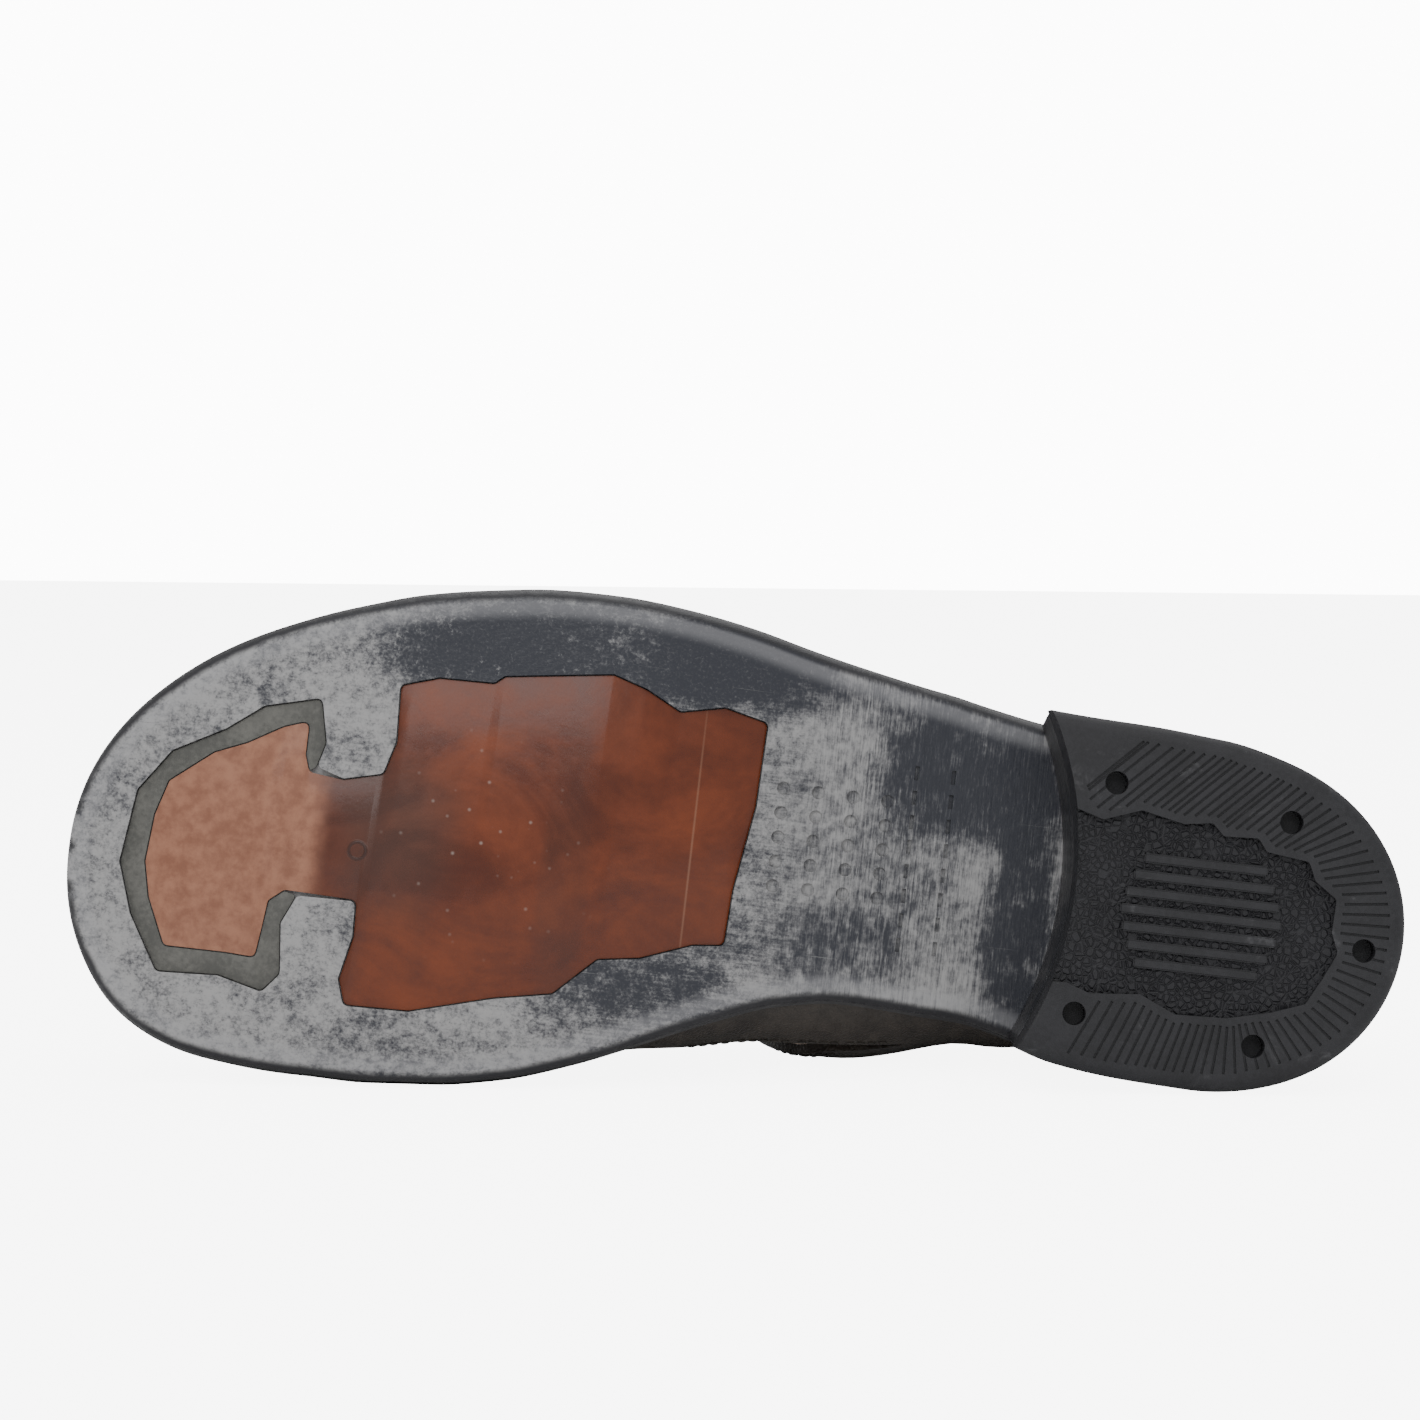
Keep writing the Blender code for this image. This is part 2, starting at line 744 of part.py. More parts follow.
def make_heel(parts, cutters, finish):
    """Heel block under the sole's seat and the top lift that meets the ground."""
    stations = cosine_stations(HEEL_STEPS, HEEL_PLATES_TO)
    block_levels = (
        (HEEL_BLOCK_INSET, 0.0, lambda along: TOP_LIFT_THICKNESS + FIT_GAP),
        (HEEL_BLOCK_INSET, 1.0, lambda along: tread_height(along) - FIT_GAP),
    )
    block = add_object("heel_block", plate("heel_block", block_levels, stations), parts, finish["black_edge"])
    edge, width, height = TOP_LIFT_INSET, TOP_LIFT_ROUND_WIDTH, TOP_LIFT_ROUND_HEIGHT
    lift_levels = (
        (edge + width, 0.0, lambda along: 0.0),
        (edge + 0.3 * width, 0.0, lambda along: 0.3 * height),
        (edge, 0.0, lambda along: height),
        (edge, 0.0, lambda along: TOP_LIFT_THICKNESS),
    )
    lift = add_object("heel_top_lift", plate("heel_top_lift", lift_levels, stations), parts, finish["heel_rubber"])

    work = bmesh.new()
    slope = Matrix.Rotation(math.radians(BREAST_SLOPE), 4, "Y")
    place = Matrix.Translation((BREAST_AT + BREAST_RADIUS, BREAST_AXIS_Y, HEEL_HEIGHT)) @ slope
    bmesh.ops.create_cone(
        work,
        cap_ends=True,
        segments=BREAST_SIDES,
        radius1=BREAST_RADIUS,
        radius2=BREAST_RADIUS,
        depth=3 * HEEL_HEIGHT,
        matrix=place,
    )
    breast_mesh = bpy.data.meshes.new("breast_curve")
    work.to_mesh(breast_mesh)
    work.free()
    breast = add_object("breast_curve", breast_mesh, cutters)
    cut(block, breast)
    cut(lift, breast)

    outline = rounded(corners(HEEL_RECESS, HEEL_WIDTH), RECESS_CORNER)
    recess = prism("heel_recess", outline, lambda along: -TOP_LIFT_RECESS, lambda along: TOP_LIFT_RECESS)
    cut(lift, add_object("heel_recess", recess, cutters))

    work = bmesh.new()
    for along, across in corners(NAIL_HOLES, HEEL_WIDTH):
        bmesh.ops.create_cone(
            work,
            cap_ends=True,
            segments=HOLE_SIDES,
            radius1=NAIL_HOLE_RADIUS,
            radius2=NAIL_HOLE_RADIUS,
            depth=2 * NAIL_HOLE_DEPTH,
            matrix=Matrix.Translation((along, across, 0)),
        )
    holes_mesh = bpy.data.meshes.new("nail_holes")
    work.to_mesh(holes_mesh)
    work.free()
    cut(lift, add_object("nail_holes", holes_mesh, cutters))


def make_upper(parts, cutters, finish):
    """The upper as one wall, open at the collar and underneath, with a gusset behind an opening each side."""
    stations = upper_stations()
    upper = add_object("upper", wall_surface("upper", (1, -1), stations), parts, finish["brown_leather"])
    thicken(upper, UPPER_WALL)
    low = min(rear for _, rear, _ in GUSSET) - 3 * GUSSET_LAP / SOLE_LENGTH
    high = THROAT_AT + 3 * GUSSET_LAP / SOLE_LENGTH
    near = [station for station in stations if low < station < high]
    depth = UPPER_WALL + GUSSET_GAP
    for side, place in ((1, "outer"), (-1, "inner")):
        opening = gusset_form("gusset_opening_" + place, side, 0.0, -UPPER_WALL, 2 * UPPER_WALL)
        cut(upper, add_object("gusset_opening_" + place, opening, cutters))
        name = "gusset_" + place
        surface = wall_surface(name, (side,), near)
        sink_surface(surface, depth)
        gusset = add_object(name, surface, parts, finish["black_elastic"])
        thicken(gusset, GUSSET_THICKNESS)
        bounds = gusset_form(name + "_outline", side, GUSSET_LAP, 0.0, depth + 3 * GUSSET_THICKNESS)
        cut(gusset, add_object(name + "_outline", bounds, cutters), "INTERSECT")


def make_insole(parts, finish):
    inset = UPPER_WALL + INSOLE_GAP
    levels = (
        (inset, 1.0, lambda along: seat_height(along) + FIT_GAP),
        (inset, 1.0, lambda along: seat_height(along) + FIT_GAP + INSOLE_THICKNESS),
    )
    shape = plate("insole", levels, cosine_stations(SOLE_STEPS), feather=1.0)
    add_object("insole", shape, parts, finish["tan_insole"])


def resting_pose(parts):
    """Turn and place that lay the shoe on the hull face of its inner side that lies under its balance point."""
    bpy.context.view_layer.update()
    graph = bpy.context.evaluated_depsgraph_get()
    points = []
    volume = 0.0
    moment = Vector()
    for part in parts:
        evaluated = part.evaluated_get(graph)
        mesh = evaluated.to_mesh()
        mesh.calc_loop_triangles()
        for triangle in mesh.loop_triangles:
            a, b, c = (mesh.vertices[i].co for i in triangle.vertices)
            piece = a.dot(b.cross(c)) / 6
            volume += piece
            moment += (a + b + c) / 4 * piece
        points += [vertex.co.copy() for vertex in mesh.vertices]
        evaluated.to_mesh_clear()
    balance = moment / volume

    hull = bmesh.new()
    for point in points:
        hull.verts.new(point)
    bmesh.ops.convex_hull(hull, input=hull.verts[:])
    down = None
    for face in hull.faces:
        a, b, c = (vertex.co.copy() for vertex in face.verts[:3])
        normal = (b - a).cross(c - a).normalized()
        if normal.dot(a - balance) < 0:
            b, c = c, b
            normal = -normal
        foot = balance + normal * normal.dot(a - balance)
        turns = [(q - p).cross(foot - p).dot(normal) for p, q in ((a, b), (b, c), (c, a))]
        if min(turns) >= 0 and (down is None or normal.y < down.y):
            down = normal
    hull.free()

    forward = Vector((1, 0, 0))
    forward = (forward - down * forward.dot(down)).normalized()
    turn = Matrix((-forward, down.cross(forward), -down)).to_4x4()
    turned = [turn @ point for point in points]
    low = [min(point[i] for point in turned) for i in range(3)]
    high = [max(point[i] for point in turned) for i in range(3)]
    place = Matrix.Translation((-(low[0] + high[0]) / 2, -(low[1] + high[1]) / 2, -low[2]))
    return place @ turn


def main():
    clear_scene()
    parts = new_collection("low_shoe")
    cutters = new_collection("cutting_forms")
    finish = {name: make_finish(name, colour, roughness) for name, colour, roughness in FINISHES}
    make_soles(parts, cutters, finish)
    make_heel(parts, cutters, finish)
    make_upper(parts, cutters, finish)
    make_insole(parts, finish)

    frame = bpy.data.objects.new("shoe_frame", None)
    frame.matrix_world = resting_pose(parts.objects)
    for piece in list(parts.objects) + list(cutters.objects):
        piece.parent = frame
    parts.objects.link(frame)
    bpy.context.view_layer.update()


main()
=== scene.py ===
"""Looks of a left low slip-on shoe that lies on its inner side, its sole towards the camera.

Every piece is made in the shoe's own upright frame, with the values that its solids have, and then laid
down: x runs forward from the back of the heel, y towards the outer side, z up from the ground.
"""

import math

import bmesh
import bpy
from mathutils import Matrix, Vector
from mathutils.kdtree import KDTree


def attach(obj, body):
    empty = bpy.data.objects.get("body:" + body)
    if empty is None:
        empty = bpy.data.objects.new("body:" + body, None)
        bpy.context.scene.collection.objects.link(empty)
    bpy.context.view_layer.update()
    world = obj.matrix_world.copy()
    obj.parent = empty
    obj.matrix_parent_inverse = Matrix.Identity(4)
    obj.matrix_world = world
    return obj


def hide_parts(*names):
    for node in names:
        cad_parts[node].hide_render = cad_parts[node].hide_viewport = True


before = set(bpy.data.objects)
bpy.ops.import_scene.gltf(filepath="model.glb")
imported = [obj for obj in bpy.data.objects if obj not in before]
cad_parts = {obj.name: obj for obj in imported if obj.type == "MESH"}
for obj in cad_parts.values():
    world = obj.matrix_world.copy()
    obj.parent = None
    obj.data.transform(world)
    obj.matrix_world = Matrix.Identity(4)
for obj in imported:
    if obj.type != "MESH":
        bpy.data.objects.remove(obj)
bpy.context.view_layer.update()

MM = 0.001

# Driving sizes
SOLE_LENGTH = 300 * MM
BALL_WIDTH = 111 * MM
WAIST_WIDTH = 76 * MM
HEEL_WIDTH = 79.5 * MM
HEEL_HEIGHT = 25 * MM
TOE_SPRING = 13 * MM
TOE_SWING = 13.2 * MM
FIT_GAP = 0.3 * MM

OUTSOLE_THICKNESS = 5 * MM
OUTSOLE_EDGE_INSET = 0.7 * MM
OUTSOLE_ROUND_WIDTH = 2.6 * MM
OUTSOLE_ROUND_HEIGHT = 2.2 * MM
MIDSOLE_THICKNESS = 3 * MM
MIDSOLE_CHAMFER = 0.6 * MM
INLAY_DEPTH = 2 * MM
INLAY_SUNK = 0.7 * MM
INLAY_CORNER = 1.6 * MM

TOP_LIFT_THICKNESS = 8 * MM
TOP_LIFT_INSET = 0.3 * MM
TOP_LIFT_ROUND_WIDTH = 3 * MM
TOP_LIFT_ROUND_HEIGHT = 2.4 * MM
TOP_LIFT_RECESS = 1.5 * MM
RECESS_CORNER = 1.2 * MM
HEEL_BLOCK_INSET = 0.9 * MM
HEEL_FLARE = 3 * MM
BREAST_AT = 75.5 * MM
BREAST_RADIUS = 80 * MM
BREAST_AXIS_Y = 4 * MM
BREAST_SLOPE = 3
NAIL_HOLE_RADIUS = 2.6 * MM
NAIL_HOLE_DEPTH = 5 * MM

UPPER_WALL = 2.2 * MM
TOE_MARGIN = 7.5 * MM
SIDE_MARGIN = 5.5 * MM
HEEL_MARGIN = 4.5 * MM
ANKLE_RISE = 96 * MM
INSTEP_RISE = 78 * MM
BALL_RISE = 46 * MM
TOE_RISE = 27 * MM
TOE_DEPTH = 34 * MM
TOE_BULGE = 3 * MM
COUNTER_BULGE = 3.5 * MM
COUNTER_LEAN = 30 * MM
ARCH_BULGE = 19 * MM
WALL_BULGE = 3 * MM
INSTEP_SHIFT = 5 * MM

GUSSET_THICKNESS = 1.2 * MM
GUSSET_LAP = 6 * MM
GUSSET_GAP = 0.5 * MM
INSOLE_THICKNESS = 3 * MM
INSOLE_GAP = 0.6 * MM

# Places along the shoe, as shares of the sole's length
HEEL_ROUND_TO = 0.15
TOE_ROUND_FROM = 0.78
TOE_ROUNDNESS = 2.2
HEEL_PLATES_TO = 0.36
COLLAR_STRAIGHT_TO = 0.36
THROAT_AT = 0.58

# How finely the curved forms are divided
SOLE_STEPS = 150
HEEL_STEPS = 64
COLLAR_STEPS = 40
THROAT_STEPS = 32
VAMP_STEPS = 72
WALL_STEPS = 56
GUSSET_STEPS = 30
CORNER_STEPS = 6

# Sole outline: the width that each row follows, and the reach to the outer and the inner side as shares
# of that width, before the two ends are rounded off
OUTLINE = (
    # station, width, outer, inner
    (0.00, HEEL_WIDTH, 0.503, 0.516),
    (0.10, HEEL_WIDTH, 0.491, 0.493),
    (0.15, HEEL_WIDTH, 0.504, 0.487),
    (0.20, HEEL_WIDTH, 0.519, 0.479),
    (0.25, HEEL_WIDTH, 0.526, 0.457),
    (0.31, WAIST_WIDTH, 0.567, 0.407),
    (0.35, WAIST_WIDTH, 0.586, 0.389),
    (0.40, WAIST_WIDTH, 0.618, 0.380),
    (0.45, WAIST_WIDTH, 0.655, 0.408),
    (0.50, BALL_WIDTH, 0.478, 0.327),
    (0.55, BALL_WIDTH, 0.499, 0.384),
    (0.60, BALL_WIDTH, 0.513, 0.437),
    (0.65, BALL_WIDTH, 0.517, 0.475),
    (0.70, BALL_WIDTH, 0.509, 0.491),
    (0.75, BALL_WIDTH, 0.495, 0.492),
    (0.80, BALL_WIDTH, 0.469, 0.481),
    (0.85, BALL_WIDTH, 0.449, 0.478),
    (0.90, BALL_WIDTH, 0.438, 0.485),
    (0.95, BALL_WIDTH, 0.430, 0.490),
    (1.00, BALL_WIDTH, 0.428, 0.460),
)

# Height of the outsole's underside over the ground
TREAD = (
    # station, size, share
    (0.00, HEEL_HEIGHT, 1.00),
    (0.25, HEEL_HEIGHT, 0.94),
    (0.33, HEEL_HEIGHT, 0.84),
    (0.42, HEEL_HEIGHT, 0.56),
    (0.50, HEEL_HEIGHT, 0.26),
    (0.58, HEEL_HEIGHT, 0.04),
    (0.63, HEEL_HEIGHT, 0.00),
    (0.72, TOE_SPRING, 0.00),
    (0.80, TOE_SPRING, 0.10),
    (0.88, TOE_SPRING, 0.36),
    (0.95, TOE_SPRING, 0.72),
    (1.00, TOE_SPRING, 1.00),
)

# Distance from the sole's outline in to the line where the upper meets it
FEATHER = (
    # station, margin
    (0.00, HEEL_MARGIN),
    (0.30, SIDE_MARGIN),
    (0.70, SIDE_MARGIN),
    (1.00, TOE_MARGIN),
)

# Distance that the sole's edge lies inside the heel's flared tread
FLARE = (
    # station, share
    (0.00, 1.00),
    (0.22, 0.90),
    (0.34, 0.00),
)

# Sections of the last: the height of its ridge over the seat, how boxy its arch is (2 is an ellipse), and
# how far the wall bulges past the feather line on the outer and the inner side
SECTIONS = (
    # station, height size, share, boxiness, outer bulge size, share, inner bulge size, share
    (0.00, ANKLE_RISE, 1.02, 2.1, WALL_BULGE, 0.5, WALL_BULGE, 0.3),
    (0.15, ANKLE_RISE, 1.01, 2.0, WALL_BULGE, 0.5, WALL_BULGE, 0.2),
    (0.30, ANKLE_RISE, 0.98, 2.1, WALL_BULGE, 0.5, ARCH_BULGE, 0.60),
    (0.40, ANKLE_RISE, 0.91, 2.2, WALL_BULGE, 0.6, ARCH_BULGE, 1.00),
    (0.50, INSTEP_RISE, 0.96, 2.1, WALL_BULGE, 0.8, ARCH_BULGE, 0.60),
    (0.60, INSTEP_RISE, 0.77, 2.1, WALL_BULGE, 1.0, WALL_BULGE, 1.2),
    (0.70, BALL_RISE, 1.00, 2.2, WALL_BULGE, 1.0, WALL_BULGE, 0.9),
    (0.80, BALL_RISE, 0.80, 2.3, WALL_BULGE, 0.8, WALL_BULGE, 0.8),
    (0.90, TOE_RISE, 0.94, 2.5, WALL_BULGE, 0.6, WALL_BULGE, 0.6),
    (1.00, TOE_RISE, 0.62, 2.6, WALL_BULGE, 0.5, WALL_BULGE, 0.5),
)

# How far the last's ridge lies towards the inner side
RIDGE = (
    # station, size, share
    (0.00, INSTEP_SHIFT, 0.0),
    (0.30, INSTEP_SHIFT, 0.1),
    (0.50, INSTEP_SHIFT, 0.8),
    (0.70, INSTEP_SHIFT, 1.1),
    (0.85, TOE_SWING, 0.60),
    (1.00, TOE_SWING, 1.00),
)

# Topline: how far up the section's arch the wall goes, behind the throat
TOPLINE = (
    # station, degrees
    (0.00, 35.0),
    (0.10, 31.0),
    (0.20, 27.0),
    (0.30, 25.0),
    (0.36, 25.0),
)

# Opening for a side gusset: at shares of the wall's height, where its rear and its front edge run
GUSSET = (
    # height share, rear station, front station
    (0.17, 0.385, 0.500),
    (0.20, 0.345, 0.525),
    (0.22, 0.350, 0.535),
    (0.25, 0.405, 0.545),
    (0.40, 0.432, 0.553),
    (0.66, 0.462, 0.560),
    (1.00, 0.482, 0.562),
    (1.15, 0.484, 0.562),
)

# Corners of the forefoot inlay, as shares of the sole's length and of the ball's width towards the outer
# side. The toe lobe has an outer edge and, inside its border band, an edge of its own; both run from the
# neck's outer corner round the toe to its inner corner. The main panel runs on from there, back to the neck.
TOE_EDGE = (
    # along, across
    (0.816, 0.094),
    (0.811, 0.144),
    (0.818, 0.232),
    (0.860, 0.204),
    (0.887, 0.150),
    (0.926, 0.095),
    (0.949, 0.009),
    (0.956, -0.138),
    (0.943, -0.239),
    (0.918, -0.348),
    (0.871, -0.341),
    (0.837, -0.363),
    (0.825, -0.324),
    (0.829, -0.223),
    (0.819, -0.164),
)
TOE_LOBE = (
    # along, across
    (0.821, 0.084),
    (0.825, 0.117),
    (0.825, 0.185),
    (0.844, 0.168),
    (0.870, 0.128),
    (0.894, 0.102),
    (0.926, 0.035),
    (0.934, -0.036),
    (0.937, -0.132),
    (0.931, -0.203),
    (0.915, -0.296),
    (0.868, -0.295),
    (0.845, -0.298),
    (0.842, -0.234),
    (0.840, -0.182),
    (0.829, -0.158),
)
MAIN_PANEL = (
    # along, across
    (0.775, -0.162),
    (0.774, -0.234),
    (0.781, -0.320),
    (0.775, -0.371),
    (0.727, -0.368),
    (0.666, -0.323),
    (0.623, -0.301),
    (0.593, -0.223),
    (0.562, -0.211),
    (0.524, -0.173),
    (0.501, -0.167),
    (0.499, -0.054),
    (0.489, 0.117),
    (0.487, 0.288),
    (0.520, 0.308),
    (0.553, 0.288),
    (0.580, 0.325),
    (0.605, 0.346),
    (0.685, 0.317),
    (0.692, 0.301),
    (0.733, 0.299),
    (0.761, 0.276),
    (0.759, 0.162),
    (0.766, 0.095),
    (0.795, 0.076),
)

# Corners of the recess in the heel, from its outer end at the breast round the back to its inner end, as
# shares of the sole's length and of the heel's width. It runs out through the breast.
HEEL_RECESS = (
    # along, across
    (0.307, 0.258),
    (0.255, 0.264),
    (0.233, 0.239),
    (0.205, 0.277),
    (0.173, 0.252),
    (0.152, 0.264),
    (0.143, 0.231),
    (0.117, 0.236),
    (0.110, 0.201),
    (0.078, 0.187),
    (0.072, 0.136),
    (0.055, 0.091),
    (0.056, 0.000),
    (0.050, -0.057),
    (0.059, -0.131),
    (0.070, -0.208),
    (0.095, -0.243),
    (0.127, -0.272),
    (0.165, -0.278),
    (0.192, -0.233),
    (0.229, -0.247),
    (0.247, -0.224),
    (0.307, -0.231),
)
NAIL_HOLES = (
    # along, across
    (0.226, 0.345),
    (0.094, 0.291),
    (0.031, -0.042),
    (0.105, -0.341),
    (0.239, -0.307),
)


def smooth(rows, at):
    """Value of (place, value) rows at a place, on a cubic through them that adds no humps between rows."""
    places = [row[0] for row in rows]
    values = [row[1] for row in rows]
    if at <= places[0]:
        return values[0]
    if at >= places[-1]:
        return values[-1]
    widths = [after - before for before, after in zip(places, places[1:])]
    slopes = [(b - a) / width for a, b, width in zip(values, values[1:], widths)]
    tangents = [slopes[0]]
    for before, after in zip(slopes, slopes[1:]):
        same_way = before * after > 0
        tangents.append(2 * before * after / (before + after) if same_way else 0.0)
    tangents.append(slopes[-1])
    i = max(k for k in range(len(widths)) if places[k] <= at)
    t = (at - places[i]) / widths[i]
    return (
        (1 + 2 * t) * (1 - t) ** 2 * values[i]
        + t * (1 - t) ** 2 * widths[i] * tangents[i]
        + t * t * (3 - 2 * t) * values[i + 1]
        + t * t * (t - 1) * widths[i] * tangents[i + 1]
    )


OUTER_REACH = [(station, width * outer) for station, width, outer, _ in OUTLINE]
INNER_REACH = [(station, width * inner) for station, width, _, inner in OUTLINE]
TREAD_HEIGHT = [(station, size * share) for station, size, share in TREAD]
RISE = [(row[0], row[1] * row[2]) for row in SECTIONS]
BOXINESS = [(row[0], row[3]) for row in SECTIONS]
OUTER_BULGE = [(row[0], row[4] * row[5]) for row in SECTIONS]
INNER_BULGE = [(row[0], row[6] * row[7]) for row in SECTIONS]
RIDGE_PLACE = [(station, -size * share) for station, size, share in RIDGE]
GUSSET_REAR = [(share, rear) for share, rear, _ in GUSSET]
GUSSET_FRONT = [(share, front) for share, _, front in GUSSET]


def end_rounding(station):
    """Share of the full reach that the rounded heel and toe leave at a station."""
    if station < HEEL_ROUND_TO:
        return math.sqrt(max(0.0, 1 - (1 - station / HEEL_ROUND_TO) ** 2))
    past = max(0.0, (station - TOE_ROUND_FROM) / (1 - TOE_ROUND_FROM))
    return max(0.0, 1 - past**TOE_ROUNDNESS) ** (1 / TOE_ROUNDNESS)


def middle(station):
    """The line that the sides are measured from: straight behind, swung to the inner side at the toe."""
    return -TOE_SWING * max(0.0, 2 * station - 1) ** 2


def reach(station, side):
    return smooth(OUTER_REACH if side > 0 else INNER_REACH, station)


def edge_point(station, side, inset, feather=0.0, flare=0.0):
    """Plan point of the sole's outline, drawn in by an inset and by shares of other margins.

    side is 1 on the outer side and -1 on the inner side. feather draws it in to the line of the upper,
    and flare undoes the flare of the heel's tread.
    """
    heel = inset + HEEL_MARGIN * feather + HEEL_FLARE * flare
    toe = inset + TOE_MARGIN * feather
    margin = inset + smooth(FEATHER, station) * feather + smooth(FLARE, station) * HEEL_FLARE * flare
    along = heel + (SOLE_LENGTH - heel - toe) * station
    return along, middle(station) + side * end_rounding(station) * (reach(station, side) - margin)


def tread_height(along):
    return smooth(TREAD_HEIGHT, along / SOLE_LENGTH)


def outsole_top(along):
    return tread_height(along) + OUTSOLE_THICKNESS


def seat_height(along):
    """Top of the midsole, which the upper and the insole rest on."""
    return outsole_top(along) + FIT_GAP + MIDSOLE_THICKNESS


def cosine_stations(steps, last=1.0):
    """Stations from 0 to last, closer together at the rounded ends."""
    if last < 1.0:
        return [last * (1 - math.cos(math.pi / 2 * i / steps)) for i in range(steps + 1)]
    return [(1 - math.cos(math.pi * i / steps)) / 2 for i in range(steps + 1)]


def mesh_from(name, points, faces, closed=True):
    """A mesh of hand-built faces. Corners that coincide are joined, and a closed form is faced outwards."""
    mesh = bpy.data.meshes.new(name)
    mesh.from_pydata(points, [], faces)
    work = bmesh.new()
    work.from_mesh(mesh)
    bmesh.ops.remove_doubles(work, verts=work.verts, dist=0.002 * MM)
    if closed:
        bmesh.ops.recalc_face_normals(work, faces=work.faces)
    work.to_mesh(mesh)
    work.free()
    return mesh


def cut(target, cutter, operation="DIFFERENCE"):
    """Takes the cutter's form out of the target, or with INTERSECT keeps only what lies inside it."""
    modifier = target.modifiers.new("cut_by_" + cutter.name, "BOOLEAN")
    modifier.operation = operation
    modifier.object = cutter


def plate(name, levels, stations, feather=0.0):
    """Mesh with the sole's outline. Each level is (inset, flare share undone, height function), upwards.

    The two sides of a level have the same places along the shoe, so that the rungs of both caps are flat.
    """
    closed_toe = stations[-1] == 1.0
    last = len(stations) - 1
    points = []
    rings = []
    for inset, flare, height in levels:
        ring = []
        outer = [(station, 1) for station in stations]
        inner = [(station, -1) for station in reversed(stations) if 0.0 < station < 1.0]
        for station, side in outer + inner:
            along, across = edge_point(station, side, inset, feather, flare)
            ring.append(len(points))
            points.append((along, across, height(along)))
        rings.append(ring)
    count = len(rings[0])
    faces = []
    for below, above in zip(rings, rings[1:]):
        for i in range(count):
            j = (i + 1) % count
            faces.append((below[i], below[j], above[j], above[i]))
    for ring in (rings[0], rings[-1]):
        for i in range(last):
            rung = [ring[i], ring[i + 1]]
            if not (closed_toe and i == last - 1):
                rung.append(ring[count - i - 1])
            if i > 0:
                rung.append(ring[count - i])
            faces.append(rung)
    return mesh_from(name, points, faces)


def rounded(corners, radius):
    """Outline through the corners, each rounded as far as its neighbours leave room."""
    outline = []
    for i, corner in enumerate(corners):
        here = Vector(corner)
        back = Vector(corners[i - 1]) - here
        ahead = Vector(corners[(i + 1) % len(corners)]) - here
        turn = math.pi - back.angle(ahead)
        room = 0.45 * min(back.length, ahead.length)
        cut_back = min(radius * math.tan(turn / 2), room)
        start = here + back.normalized() * cut_back
        end = here + ahead.normalized() * cut_back
        for k in range(CORNER_STEPS + 1):
            t = k / CORNER_STEPS
            outline.append((1 - t) ** 2 * start + 2 * t * (1 - t) * here + t * t * end)
    return outline


def grown(outline, distance):
    """The outline moved outwards by the distance, or inwards where it is negative."""
    area = sum(a.cross(b) for a, b in zip(outline, outline[1:] + outline[:1]))
    outward = math.copysign(1, area) * distance
    moved = []
    for i, point in enumerate(outline):
        along = (outline[(i + 1) % len(outline)] - outline[i - 1]).normalized()
        moved.append(Vector((point.x + along.y * outward, point.y - along.x * outward)))
    return moved


def stepped(height, rungs):
    """The height function drawn straight from rung to rung, as a plate's flat facets run."""
    heights = [height(rung) for rung in rungs]

    def value(along):
        i = max([k for k in range(len(rungs) - 1) if rungs[k] <= along], default=0)
        t = (along - rungs[i]) / (rungs[i + 1] - rungs[i])
        return heights[i] + (heights[i + 1] - heights[i]) * t

    return value


def prism(name, outline, lower, upper, rungs=()):
    """Mesh of an upright prism, cut across at the rungs so that its caps can follow the height functions."""
    work = bmesh.new()
    work.faces.new([work.verts.new((point.x, point.y, 0)) for point in outline])
    for rung in rungs:
        bmesh.ops.bisect_plane(
            work,
            geom=work.verts[:] + work.edges[:] + work.faces[:],
            dist=0.001 * MM,
            plane_co=(rung, 0, 0),
            plane_no=(1, 0, 0),
        )
    made = bmesh.ops.extrude_face_region(work, geom=work.faces[:])
    raised = {item for item in made["geom"] if isinstance(item, bmesh.types.BMVert)}
    for vertex in work.verts:
        height = upper if vertex in raised else lower
        vertex.co.z = height(vertex.co.x)
    bmesh.ops.recalc_face_normals(work, faces=work.faces)
    mesh = bpy.data.meshes.new(name)
    work.to_mesh(mesh)
    work.free()
    return mesh


def corners(rows, width):
    return [(along * SOLE_LENGTH, across * width) for along, across in rows]


def swell(share):
    """Bulge of the wall: none at the feather line, full at a fifth of the arch, none at the ridge."""
    return math.sin(math.pi * share**0.42)


def last_point(station, side, turn):
    """Point of the last's surface. turn is the angle up the section's arch, a right angle at the ridge."""
    along, foot = edge_point(station, side, 0.0, feather=1.0, flare=1.0)
    half = abs(foot - middle(station))
    power = 2 / smooth(BOXINESS, station)
    width_share = max(0.0, math.cos(turn)) ** power
    height_share = math.sin(turn) ** power
    share = turn / (math.pi / 2)
    bulge = smooth(OUTER_BULGE if side > 0 else INNER_BULGE, station) * end_rounding(station)
    centre = middle(station) + (smooth(RIDGE_PLACE, station) - middle(station)) * height_share
    back = (COUNTER_LEAN * share**2 - COUNTER_BULGE * swell(share)) * (1 - station) ** 8
    front = (TOE_BULGE * swell(share) - TOE_DEPTH * (1 - math.cos(turn))) * station**6
    return Vector(
        (
            along + back + front,
            centre + side * (half * width_share + bulge * swell(share)),
            seat_height(along) + FIT_GAP + smooth(RISE, station) * height_share,
        )
    )


def last_normal(station, side, turn):
    """Outward direction of the last's surface."""
    step = 0.002
    along = last_point(station + step, side, turn) - last_point(station - step, side, turn)
    up = last_point(station, side, turn + step) - last_point(station, side, turn - step)
    return (up.cross(along) * side).normalized()


